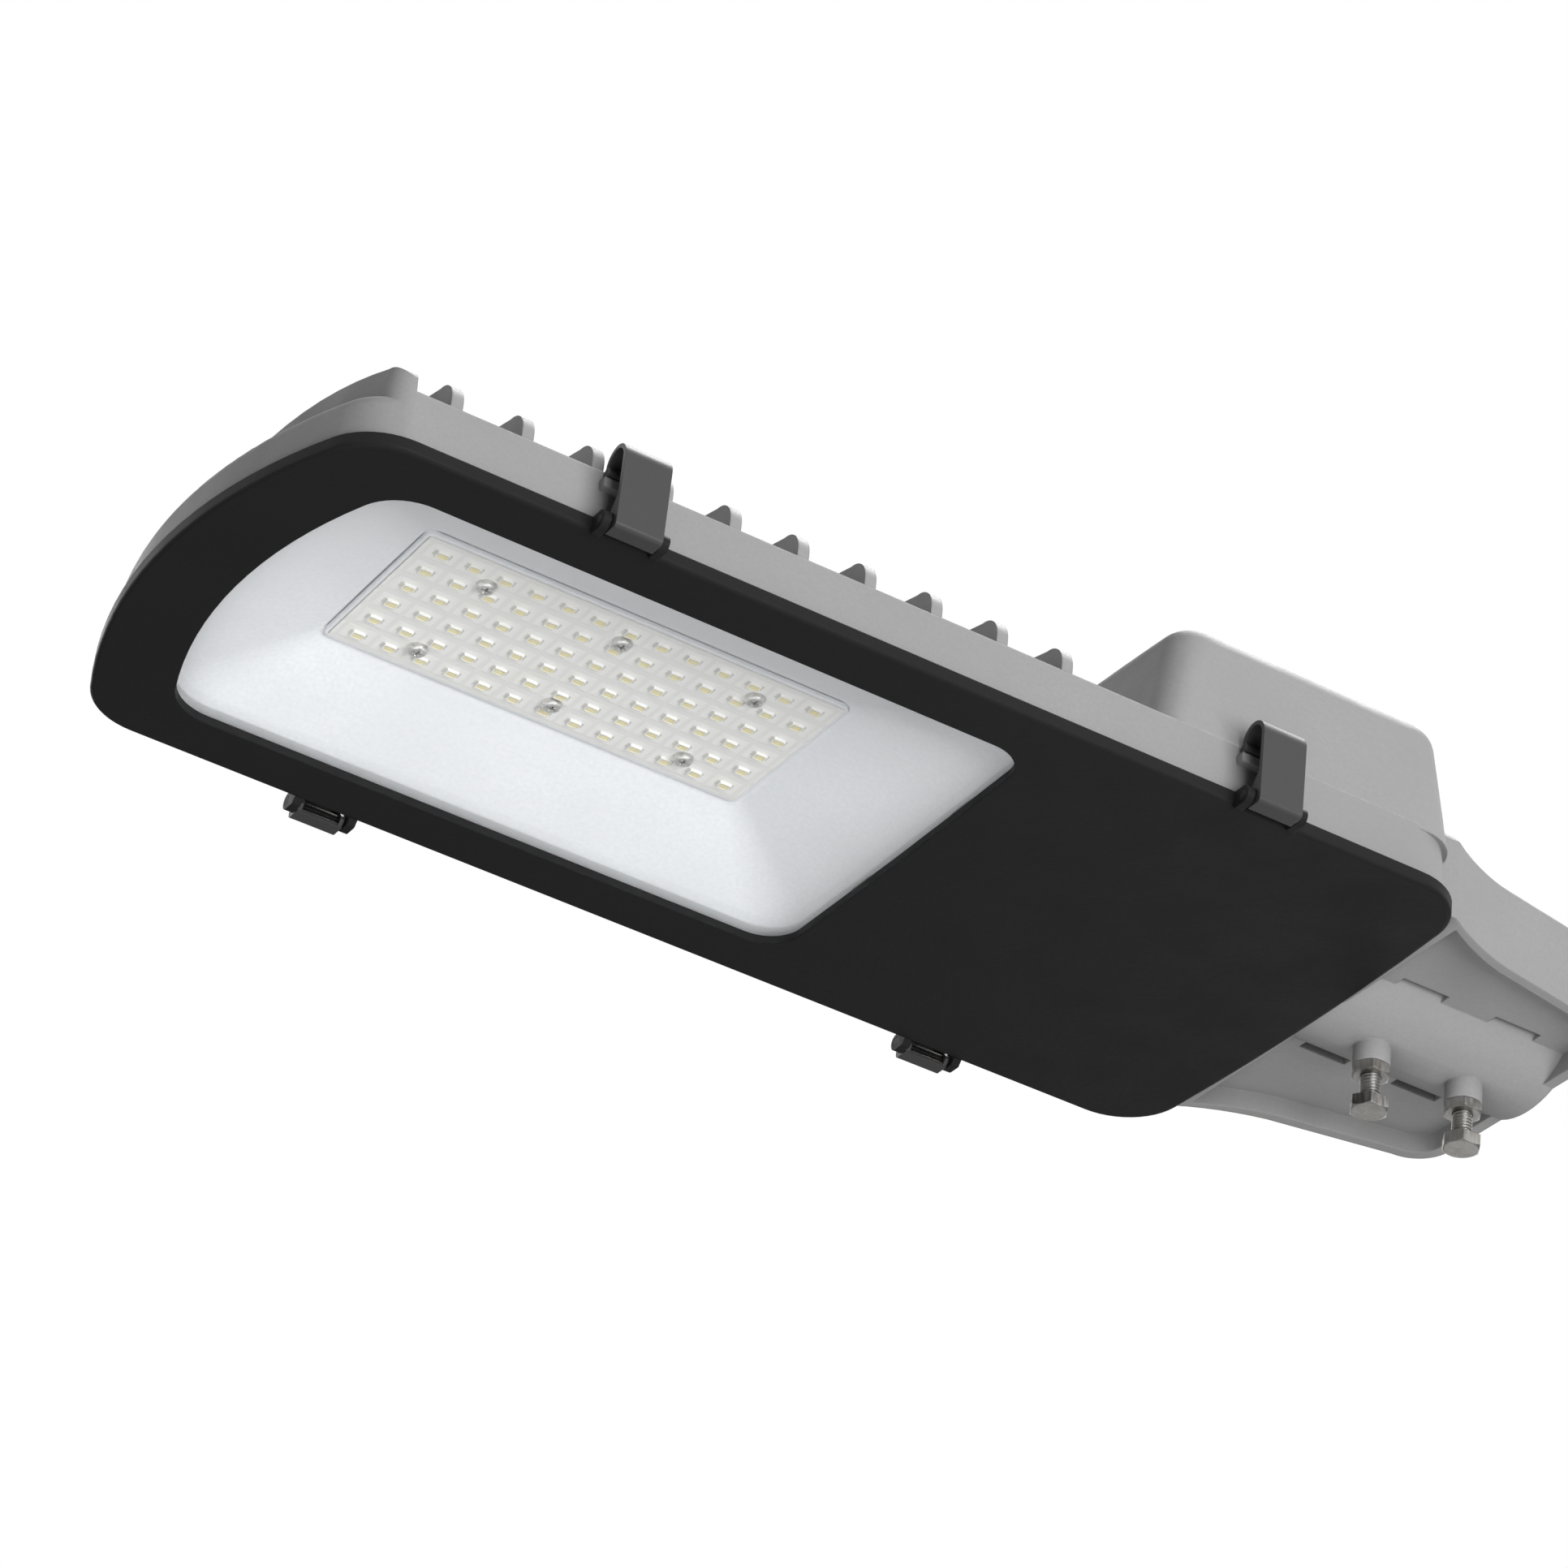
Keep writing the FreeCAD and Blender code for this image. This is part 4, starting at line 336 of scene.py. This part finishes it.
def bare_metal(name, colour, roughness, edge, stain, brush=(1, 1, 1)):
    """Bare or plated metal: brush marks, faint stains, painted shade in corners."""
    material, tree, shader = new_material(name)
    lines = noise(tree, METAL_BRUSH, at=stretched(tree, brush))
    cloud = noise(tree, METAL_CLOUD, detail=3.0)
    stains = spread(tree, cloud, from_low=0.45, from_high=0.65)
    # Painted shade: the colour is darkened in corners and gaps, where ambient occlusion finds them
    corners = spread(
        tree, cavity(tree, METAL_CORNER), low=0.5, high=0, from_low=0.3, from_high=0.9
    )
    tone = varied(tree, spread(tree, lines), colour, dark=0.82, light=1.08)
    tone = blend_colour(tree, math_node(tree, "MULTIPLY", stains, stain), tone, METAL_STAIN)
    tone = blend_colour(tree, corners, tone, shade(colour, METAL_CORNER_SHADE))
    gloss = uneven(tree, lines, roughness, below=0.08, above=0.10)
    normal = bump(tree, lines, METAL_BRUSH_DEPTH, soft_edges(tree, edge))
    set_shader(tree, shader, tone, gloss, normal, metallic=1.0)
    return material


def moulded(name, colour, roughness, edge, grain=0.02 * MM):
    """Moulded plastic or rubber: faint cloud, fine grain."""
    material, tree, shader = new_material(name)
    cloud = spread(tree, noise(tree, PLASTIC_CLOUD, detail=3.0))
    fine = noise(tree, PLASTIC_GRAIN)
    tone = varied(tree, cloud, colour, dark=0.93, light=1.04)
    gloss = uneven(tree, fine, roughness, below=0.05, above=0.07)
    normal = bump(tree, fine, grain, soft_edges(tree, edge))
    set_shader(tree, shader, tone, gloss, normal)
    return material


def clear_glass(name):
    """Clear toughened glass that lets the lamps' light through."""
    material, tree, shader = new_material(name)
    waves = noise(tree, GLASS_WAVE, detail=1.0)
    colour = blend_colour(tree, spread(tree, waves), *GLASS_TINTS)
    set_shader(tree, shader, colour, GLASS_ROUGHNESS, bump(tree, waves, GLASS_WAVE_DEPTH))
    shader.inputs["Transmission Weight"].default_value = 1.0
    shader.inputs["IOR"].default_value = GLASS_IOR
    open_way = add_node(tree, "ShaderNodeBsdfTransparent", [("Color", GLASS_CLEAR)])
    path = add_node(tree, "ShaderNodeLightPath")
    surface = shader.outputs[0]
    for ray in ("Is Diffuse Ray", "Is Shadow Ray"):
        inputs = [(0, path.outputs[ray]), (1, surface), (2, open_way.outputs[0])]
        surface = add_node(tree, "ShaderNodeMixShader", inputs).outputs[0]
    tree.links.new(surface, tree.nodes["Material Output"].inputs["Surface"])
    return material


def repeated(tree, coordinate, start, pitch):
    """Distance from the middle of the nearest cell of a row, in metres."""
    cells = math_node(tree, "DIVIDE", math_node(tree, "SUBTRACT", coordinate, start), pitch)
    part = math_node(tree, "SUBTRACT", cells, math_node(tree, "ROUND", cells))
    return math_node(tree, "ABSOLUTE", math_node(tree, "MULTIPLY", part, pitch))


def within(tree, distance, reach, soft):
    """1 where the distance is under reach, 0 beyond, with a soft step."""
    return spread(tree, distance, from_low=reach + soft, from_high=reach)


def in_cells(tree, distances, sizes, shares, soft):
    """1 in a rectangle round the middle of each cell, where shares of sizes give its half sides."""
    inside = [
        within(tree, distance, size * share, soft)
        for distance, size, share in zip(distances, sizes, shares)
    ]
    return math_node(tree, "MULTIPLY", *inside)


def chip_grid():
    """First LED's middle and the pitches along X and Y, from the LEDs' box."""
    low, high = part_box("led_chips")
    first = (low.x + CHIP_LENGTH / 2, low.y + CHIP_WIDTH / 2)
    pitch_x = (high.x - low.x - CHIP_LENGTH) / (CHIP_COLUMNS - 1)
    pitch_y = (high.y - low.y - CHIP_WIDTH) / (CHIP_ROWS - 1)
    return first, (pitch_x, pitch_y)


def board_white(name):
    """White solder mask over copper fields, one field under each pair of pads."""
    material, tree, shader = new_material(name)
    first, pitch = chip_grid()
    axes = add_node(tree, "ShaderNodeSeparateXYZ", [(0, place(tree))])
    distances = [repeated(tree, axes.outputs[axis], first[axis], pitch[axis]) for axis in (0, 1)]
    field = in_cells(tree, distances, pitch, FIELD_SHARES, soft=0.2 * MM)
    pads = in_cells(tree, distances, (CHIP_LENGTH, CHIP_WIDTH), PAD_SHARES, soft=0.1 * MM)
    aged = spread(tree, noise(tree, BOARD_CLOUD), high=0.12)
    tone = varied(tree, field, BOARD_WHITE, dark=0.93, light=1.0)
    tone = blend_colour(tree, pads, tone, PAD_TONE)
    tone = blend_colour(tree, aged, tone, BOARD_AGED)
    gloss = spread(tree, noise(tree, BOARD_SHEEN), low=0.36, high=0.46)
    normal = bump(tree, field, FIELD_DEPTH, soft_edges(tree, BOARD_EDGE))
    normal = bump(tree, noise(tree, BOARD_GRAIN, detail=1.0), BOARD_GRAIN_DEPTH, normal)
    set_shader(tree, shader, tone, gloss, normal)
    return material


def phosphor(name):
    """Yellow phosphor in two tints, under clear silicone."""
    material, tree, shader = new_material(name)
    grain = noise(tree, PHOSPHOR_GRAIN)
    colour = blend_colour(tree, spread(tree, grain), *PHOSPHOR_TINTS)
    normal = bump(tree, grain, PHOSPHOR_GRAIN_DEPTH)
    set_shader(tree, shader, colour, roughness=0.35, normal=normal)
    shader.inputs["Coat Weight"].default_value = 0.6
    shader.inputs["Coat Roughness"].default_value = 0.1
    return material


# Powder coats, with the radius of their edges, the depth of their orange peel and the strength of
# their painted shade in corners
COATS = {
    "cast_grey": dict(
        colour=GREY, roughness=0.46, edge=0.8 * MM, peel=0.05 * MM, painted_corner_shade=0.55, specular=0.3
    ),
    "frame_black": dict(
        colour=BLACK, roughness=0.5, edge=0.5 * MM, peel=0.04 * MM, painted_corner_shade=0.3, specular=0.11
    ),
    "latch_grey": dict(
        colour=LATCH_GREY, roughness=0.42, edge=0.3 * MM, peel=0.02 * MM, painted_corner_shade=0.6, specular=0.4
    ),
    "tray_white": dict(
        colour=TRAY_WHITE, roughness=0.6, edge=0.6 * MM, peel=0.03 * MM, painted_corner_shade=0.05, specular=0.35
    ),
}

# Bare metals; a brush draws their marks out along one axis
METALS = {
    "bolt_steel": dict(
        colour=(0.58, 0.57, 0.55), roughness=0.36, edge=0.2 * MM, stain=0.25, brush=(1, 1, 0.2)
    ),
    "pin_steel": dict(colour=(0.055, 0.054, 0.053), roughness=0.62, edge=0.2 * MM, stain=0.2),
    "screw_zinc": dict(colour=(0.90, 0.895, 0.87), roughness=0.5, edge=0.1 * MM, stain=0.1),
    "clip_sheet": dict(
        colour=(0.62, 0.62, 0.60), roughness=0.36, edge=0.2 * MM, stain=0.1, brush=(0.2, 1, 1)
    ),
    "terminal_brass": dict(colour=(0.72, 0.52, 0.22), roughness=0.32, edge=0.2 * MM, stain=0.2),
    "driver_aluminium": dict(
        colour=(0.70, 0.71, 0.72), roughness=0.36, edge=0.5 * MM, stain=0.05, brush=(1, 0.06, 1)
    ),
}

# Plastics and rubbers, with the depth of their grain
PLASTICS = {
    "led_package": dict(
        colour=(0.86, 0.85, 0.82), roughness=0.4, edge=0.05 * MM, grain=0.005 * MM
    ),
    "silicone": dict(colour=(0.82, 0.82, 0.80), roughness=0.35, edge=0.4 * MM),
    "rubber": dict(colour=(0.03, 0.03, 0.03), roughness=0.75, edge=0.4 * MM),
    "black_nylon": dict(colour=(0.025, 0.025, 0.027), roughness=0.5, edge=0.4 * MM),
    "cap_plastic": dict(colour=(0.80, 0.80, 0.77), roughness=0.5, edge=0.5 * MM),
    "terminal_plastic": dict(colour=(0.78, 0.77, 0.70), roughness=0.45, edge=0.4 * MM),
}

# Finishes with a function of their own
SPECIAL_FINISHES = {
    "toughened_glass": clear_glass,
    "solder_mask": board_white,
    "phosphor": phosphor,
}


def make_finishes():
    """Every finish, by name."""
    finishes = {name: make(name) for name, make in SPECIAL_FINISHES.items()}
    for make, table in ((coated, COATS), (bare_metal, METALS), (moulded, PLASTICS)):
        for name, settings in table.items():
            finishes[name] = make(name, **settings)
    return finishes


# The finish of each CAD node that stays
NODE_FINISHES = {
    "housing": "cast_grey",
    "cover_frame": "frame_black",
    "glass": "toughened_glass",
    "glass_seal": "silicone",
    "glass_clips": "clip_sheet",
    "glass_clip_screws": "screw_zinc",
    "housing_seal": "rubber",
    "reflector_tray": "tray_white",
    "led_board": "solder_mask",
    "driver_case": "driver_aluminium",
    "driver_cap_near": "cap_plastic",
    "driver_cap_far": "cap_plastic",
    "driver_screws": "screw_zinc",
    "terminal_block": "terminal_plastic",
    "terminal_screws": "terminal_brass",
    "gland_body": "black_nylon",
    "gland_lock_nut": "black_nylon",
    "gland_nut": "black_nylon",
    "gland_seal": "rubber",
    "latch_pins": "pin_steel",
    "latch_front_near": "latch_grey",
    "latch_rear_near": "latch_grey",
    "latch_front_far": "latch_grey",
    "latch_rear_far": "latch_grey",
}


def finish_nodes(finishes):
    """Give each CAD node that stays its finish."""
    for name, finish in NODE_FINISHES.items():
        mesh = NODES[name].data
        mesh.materials.clear()
        mesh.materials.append(finishes[finish])


def new_piece(name, mesh_data, materials):
    """An object from a bmesh, with smooth faces only where the mesh marks them."""
    mesh = bpy.data.meshes.new(name)
    mesh_data.normal_update()
    mesh_data.to_mesh(mesh)
    mesh_data.free()
    for material in materials:
        mesh.materials.append(material)
    piece = bpy.data.objects.new(name, mesh)
    bpy.context.scene.collection.objects.link(piece)
    return piece


def even_turns(count):
    """Angles spread evenly round a circle."""
    return [2 * math.pi * index / count for index in range(count)]


def add_ring(mesh_data, centre, turns, radii, levels):
    """A closed ring round a vertical axis; radii and levels are lists, or one number for all."""
    radii = radii if isinstance(radii, list) else [radii] * len(turns)
    levels = levels if isinstance(levels, list) else [levels] * len(turns)
    return [
        mesh_data.verts.new(
            (centre[0] + radius * math.cos(turn), centre[1] + radius * math.sin(turn), level)
        )
        for turn, radius, level in zip(turns, radii, levels)
    ]


def add_rectangle(mesh_data, centre, half_x, half_y, radius, level):
    """A closed ring round a rectangle with rounded corners."""
    ring = []
    for quarter, (side_x, side_y) in enumerate(((1, 1), (-1, 1), (-1, -1), (1, -1))):
        for step in range(CORNER_STEPS + 1):
            turn = math.radians(90 * (quarter + step / CORNER_STEPS))
            x = centre[0] + side_x * (half_x - radius) + radius * math.cos(turn)
            y = centre[1] + side_y * (half_y - radius) + radius * math.sin(turn)
            ring.append(mesh_data.verts.new((x, y, level)))
    return ring


def bridge(mesh_data, first, second, smooth=False, slot=0):
    """Quads between two closed rings of as many points."""
    count = len(first)
    for index in range(count):
        following = (index + 1) % count
        corners = (first[index], first[following], second[following], second[index])
        face = mesh_data.faces.new(corners)
        face.smooth = smooth
        face.material_index = slot


def close_down(mesh_data, ring):
    """A flat face over a ring, looking down."""
    mesh_data.faces.new(list(reversed(ring)))


def add_led(mesh_data, centre, low, high):
    """One LED that looks down: a cup with a bevelled rim, and its domed phosphor window."""

    def ring(inset, corner, level, size=1.0):
        half_x = (CHIP_LENGTH / 2 - inset) * size
        half_y = (CHIP_WIDTH / 2 - inset) * size
        return add_rectangle(mesh_data, centre, half_x, half_y, corner * size, level)

    seat = low + WINDOW_SINK
    cup = [
        ring(0, CHIP_CORNER, high),
        ring(0, CHIP_CORNER, low + CHIP_CHAMFER),
        ring(CHIP_CHAMFER, CHIP_CHAMFER_CORNER, low),
        ring(WINDOW_INSET, WINDOW_CORNER, low),
        ring(WINDOW_INSET, WINDOW_CORNER, seat),
    ]
    dome = ring(WINDOW_INSET, WINDOW_CORNER, seat - DOME_HEIGHT * DOME_RING_RISE, DOME_RING_SIZE)
    for upper, lower in zip(cup, cup[1:]):
        bridge(mesh_data, lower, upper)
    bridge(mesh_data, dome, cup[-1], smooth=True, slot=PHOSPHOR_SLOT)
    tip = mesh_data.verts.new((*centre, seat - DOME_HEIGHT))
    for index, corner in enumerate(dome):
        face = mesh_data.faces.new((dome[(index + 1) % len(dome)], corner, tip))
        face.smooth = True
        face.material_index = PHOSPHOR_SLOT
    mesh_data.faces.new(cup[0])


def make_led_packages(finishes):
    """The LEDs on the board, in rows and columns."""
    low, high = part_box("led_chips")
    first, pitch = chip_grid()
    mesh_data = bmesh.new()
    for column in range(CHIP_COLUMNS):
        for row in range(CHIP_ROWS):
            centre = (first[0] + column * pitch[0], first[1] + row * pitch[1])
            add_led(mesh_data, centre, low.z, high.z)
    piece = new_piece("led_packages", mesh_data, [finishes["led_package"], finishes["phosphor"]])
    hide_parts("led_chips")
    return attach(piece, "head")


def make_tray_hem(finishes):
    """The tray's folded hem, a thin white ring round the board on the housing's face."""
    low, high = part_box("led_board")
    middle, half = (low + high) / 2, (high - low) / 2
    inner, outer = HEM_GAP, HEM_GAP + HEM_WIDTH
    foot = high.z - HEM_DEPTH
    section = (
        (inner, high.z),
        (inner, foot + HEM_CHAMFER),
        (inner + HEM_CHAMFER, foot),
        (outer - HEM_CHAMFER, foot),
        (outer, foot + HEM_CHAMFER),
        (outer, high.z),
    )
    mesh_data = bmesh.new()
    rings = [
        add_rectangle(mesh_data, middle, half.x + reach, half.y + reach, HEM_CORNER + reach, level)
        for reach, level in section
    ]
    for index, ring in enumerate(rings):
        bridge(mesh_data, rings[index - 1], ring)
    piece = new_piece("tray_hem", mesh_data, [finishes["tray_white"]])
    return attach(piece, "head")


def hexagon_reach(angle, flat):
    """Distance from a hexagon's middle to its edge, corners along X."""
    sector = 2 * math.pi / HEX_SIDES
    turn = (angle % sector) - sector / 2
    return flat / 2 / math.cos(turn)


def add_hexagon(mesh_data, centre, flat, low, high, chamfered, hole=0.0):
    """A hexagon block along Z; chamfered says whether it is, at its low and at its high end."""
    flat_radius = flat / 2 * HEX_CHAMFER_START
    turns = even_turns(HEX_AROUND)
    reaches = [hexagon_reach(turn, flat) for turn in turns]

    def end(level, side, cut):
        """The rings of one end: its edge, its flat face, and the hole or core in it."""
        slope = HEX_CHAMFER_SLOPE if cut else 0.0
        levels = [level - side * max(0.0, reach - flat_radius) * slope for reach in reaches]
        edge = add_ring(mesh_data, centre, turns, reaches, levels)
        face = add_ring(mesh_data, centre, turns, flat_radius, level)
        core = add_ring(mesh_data, centre, turns, hole or HEX_CORE, level)
        return edge, face, core

    low_edge, low_face, low_core = end(low, -1, chamfered[0])
    high_edge, high_face, high_core = end(high, 1, chamfered[1])
    shell = [low_core, low_face, low_edge, high_edge, high_face, high_core]
    for first, second in zip(shell, shell[1:]):
        bridge(mesh_data, first, second)
    if hole:
        bridge(mesh_data, high_core, low_core, smooth=True)
    else:
        mesh_data.faces.new(high_core)
        close_down(mesh_data, low_core)


def thread_radii(height, room, outer, pitch):
    """A thread's radii round its axis at a height, with this much room above to its end."""
    end_cut = max(0.0, pitch - room) * THREAD_END
    radii = []
    for index in range(THREAD_AROUND):
        share = (height / pitch - index / THREAD_AROUND) % 1
        groove = 1 - abs(2 * share - 1)
        radii.append(min(outer - pitch * THREAD_DEPTH * groove, outer - end_cut))
    return radii


def add_thread(mesh_data, centre, low, high, outer, pitch):
    """A screw thread along Z: a closed tube whose radius rises and falls along a helix."""
    turns = even_turns(THREAD_AROUND)
    rows = int(round((high - low) / pitch * THREAD_ROWS))
    rings = []
    for row in range(rows + 1):
        height = low + (high - low) * row / rows
        radii = thread_radii(height, high - height, outer, pitch)
        rings.append(add_ring(mesh_data, centre, turns, radii, height))
    close_down(mesh_data, rings[0])
    for lower, upper in zip(rings, rings[1:]):
        bridge(mesh_data, lower, upper, smooth=True)
    mesh_data.faces.new(rings[-1])


def bolt_centres(low, high):
    """The two bolts' places, from the box round their heads."""
    reach = (high.y - low.y) / math.sqrt(3)
    return ((low.x + reach, 0.0), (high.x - reach, 0.0))


def make_bolts(finishes):
    """Hexagon bolts with washer face, chamfered head and rolled thread."""
    low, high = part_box("clamp_bolts")
    flat = high.y - low.y
    head_top = low.z + BOLT_HEAD
    turns = even_turns(HEX_AROUND)
    washer_radius = flat / 2 * WASHER_SHARE
    mesh_data = bmesh.new()
    for centre in bolt_centres(low, high):
        add_hexagon(mesh_data, centre, flat, low.z, head_top - WASHER_FACE, (True, False))
        rim = add_ring(mesh_data, centre, turns, washer_radius, head_top - 2 * WASHER_FACE)
        face = add_ring(mesh_data, centre, turns, washer_radius, head_top)
        bridge(mesh_data, rim, face, smooth=True)
        mesh_data.faces.new(face)
        close_down(mesh_data, rim)
        add_thread(mesh_data, centre, head_top - WASHER_FACE, high.z, BOLT_RADIUS, BOLT_PITCH)
    piece = new_piece("threaded_bolts", mesh_data, [finishes["bolt_steel"]])
    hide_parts("clamp_bolts")
    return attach(piece, "head")


def make_nuts(finishes):
    """Thin hexagon lock nuts, chamfered on both faces."""
    low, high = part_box("clamp_nuts")
    flat = high.y - low.y
    mesh_data = bmesh.new()
    for centre in bolt_centres(low, high):
        add_hexagon(mesh_data, centre, flat, low.z, high.z, (True, True), hole=BOLT_RADIUS)
    piece = new_piece("lock_nuts", mesh_data, [finishes["bolt_steel"]])
    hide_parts("clamp_nuts")
    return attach(piece, "head")


def cross_angles():
    """Angles round a screw's head, with one at each corner of its cross recess."""
    corner = math.atan2(CROSS_WIDTH / 2, CROSS_REACH)
    corners = [quarter * math.pi / 2 + side * corner for quarter in range(4) for side in (-1, 1)]
    return sorted(even_turns(SCREW_HEAD_AROUND) + [angle % (2 * math.pi) for angle in corners])


def cross_radius(angle):
    """Distance from the middle of a cross recess to its edge."""
    across = max(abs(math.sin(angle)), NEAR_ZERO)
    along = max(abs(math.cos(angle)), NEAR_ZERO)
    first = min(CROSS_REACH / along, CROSS_WIDTH / 2 / across)
    second = min(CROSS_REACH / across, CROSS_WIDTH / 2 / along)
    return max(first, second)


def pan_profile(face, seat):
    """Radii and levels of a pan head, from the shank at its seat round to its flat face."""
    crown = (seat - face) * PAN_SHARE
    profile = [
        (SCREW_RADIUS, seat),
        (SCREW_HEAD_RADIUS, seat),
        (SCREW_HEAD_RADIUS, face + crown),
    ]
    for step in range(1, PAN_STEPS + 1):
        turn = math.radians(step * 90 / PAN_STEPS)
        radius = SCREW_HEAD_RADIUS * (PAN_FACE + (1 - PAN_FACE) * math.cos(turn))
        profile.append((radius, face + crown * (1 - math.sin(turn))))
    return profile


def add_pan_screw(mesh_data, centre, face, seat, tip):
    """A pan-head screw along Z, with its cross recess in the face that looks down."""
    angles = cross_angles()
    cross = [cross_radius(angle) for angle in angles]
    rings = [
        add_ring(mesh_data, centre, angles, radius, level)
        for radius, level in pan_profile(face, seat)
    ]
    mesh_data.faces.new(rings[0])
    for index, (upper, lower) in enumerate(zip(rings, rings[1:])):
        bridge(mesh_data, lower, upper, smooth=index >= PAN_FLAT_BANDS)
    mouth = add_ring(mesh_data, centre, angles, cross, face)
    deep_cross = [radius * CROSS_TAPER for radius in cross]
    bottom = add_ring(mesh_data, centre, angles, deep_cross, face + CROSS_DEPTH)
    bridge(mesh_data, mouth, rings[-1])
    bridge(mesh_data, bottom, mouth)
    close_down(mesh_data, bottom)
    add_thread(mesh_data, centre, seat - SCREW_PITCH / 2, tip, SCREW_RADIUS, SCREW_PITCH)


def make_board_screws(finishes):
    """The board's six screws, at the ends and the middle of its two long sides."""
    low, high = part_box("board_screws")
    reach = Vector((SCREW_HEAD_RADIUS, SCREW_HEAD_RADIUS, 0))
    first, last = low + reach, high - reach
    mesh_data = bmesh.new()
    for x in (first.x, (first.x + last.x) / 2, last.x):
        for y in (first.y, last.y):
            add_pan_screw(mesh_data, (x, y), low.z, low.z + SCREW_HEAD_HEIGHT, high.z)
    piece = new_piece("pan_head_screws", mesh_data, [finishes["screw_zinc"]])
    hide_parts("board_screws")
    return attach(piece, "head")


def make_floor():
    """A pale floor; towards its far edges the camera sees it turn white."""
    bpy.ops.mesh.primitive_plane_add(size=FLOOR_SIZE, location=(0, 0, FLOOR_HEIGHT))
    floor = bpy.context.object
    floor.name = "floor"
    material, tree, shader = new_material("floor_paint")
    tone = varied(tree, noise(tree, FLOOR_CLOUD), FLOOR_COLOUR, dark=0.985, light=1.0)
    set_shader(tree, shader, tone, roughness=0.9, specular=0.1)
    white = add_node(tree, "ShaderNodeEmission", [("Color", WHITE), ("Strength", 1.0)])
    camera_ray = add_node(tree, "ShaderNodeLightPath").outputs["Is Camera Ray"]
    inputs = [(0, place(tree))]
    far = add_node(tree, "ShaderNodeVectorMath", inputs, operation="LENGTH").outputs["Value"]
    haze = spread(tree, far, low=HAZE_START, from_low=HAZE_NEAR, from_high=HAZE_FAR)
    share = math_node(tree, "MULTIPLY", camera_ray, haze)
    inputs = [(0, share), (1, shader.outputs[0]), (2, white.outputs[0])]
    mix = add_node(tree, "ShaderNodeMixShader", inputs)
    tree.links.new(mix.outputs[0], tree.nodes["Material Output"].inputs["Surface"])
    floor.data.materials.append(material)


def make_world():
    """Soft light all round; camera, mirror and glass rays see white."""
    world = bpy.data.worlds.new("studio")
    bpy.context.scene.world = world
    world.use_nodes = True
    tree = world.node_tree
    tree.nodes.clear()
    path = add_node(tree, "ShaderNodeLightPath")
    seen = math_node(tree, "MAXIMUM", path.outputs["Is Camera Ray"], path.outputs["Is Glossy Ray"])
    seen = math_node(tree, "MAXIMUM", seen, path.outputs["Is Transmission Ray"])
    dim = add_node(tree, "ShaderNodeBackground", [(0, WHITE), (1, SKY_LIGHT)])
    bright = add_node(tree, "ShaderNodeBackground", [(0, WHITE), (1, 1.0)])
    inputs = [(0, seen), (1, dim.outputs[0]), (2, bright.outputs[0])]
    mix = add_node(tree, "ShaderNodeMixShader", inputs)
    add_node(tree, "ShaderNodeOutputWorld", [("Surface", mix.outputs[0])])


def make_lamps():
    """Soft rectangular lamps that the camera doesn't see, aimed at the part's middle."""
    middle = (CAD_BOX[0] + CAD_BOX[1]) / 2
    for name, (spot, width, height, watts, mirrored) in LAMPS.items():
        data = bpy.data.lights.new(name, "AREA")
        data.shape = "RECTANGLE"
        data.size = width
        data.size_y = height
        data.energy = watts
        lamp = bpy.data.objects.new(name, data)
        lamp.location = spot
        lamp.rotation_mode = "QUATERNION"
        lamp.rotation_quaternion = (middle - Vector(spot)).to_track_quat("-Z", "Y")
        lamp.visible_camera = False
        lamp.visible_glossy = mirrored
        bpy.context.scene.collection.objects.link(lamp)


def make_camera():
    """The photograph's camera."""
    data = bpy.data.cameras.new("camera")
    data.sensor_width = SENSOR_MM
    data.lens = FOCAL_PIXELS / PHOTO_PIXELS * SENSOR_MM
    data.clip_start, data.clip_end = CAMERA_CLIP
    camera = bpy.data.objects.new("camera", data)
    look = (CAMERA_AIM - CAMERA_PLACE).to_track_quat("-Z", "Y").to_matrix().to_4x4()
    roll = Matrix.Rotation(CAMERA_ROLL, 4, "Z")
    camera.matrix_world = Matrix.Translation(CAMERA_PLACE) @ look @ roll
    bpy.context.scene.collection.objects.link(camera)
    bpy.context.scene.camera = camera


def main():
    """Finishes first, then the modelled pieces, then the studio."""
    finishes = make_finishes()
    finish_nodes(finishes)
    make_led_packages(finishes)
    make_tray_hem(finishes)
    make_bolts(finishes)
    make_nuts(finishes)
    make_board_screws(finishes)
    make_floor()
    make_world()
    make_lamps()
    make_camera()
    bpy.context.scene.view_settings.view_transform = "Standard"


main()
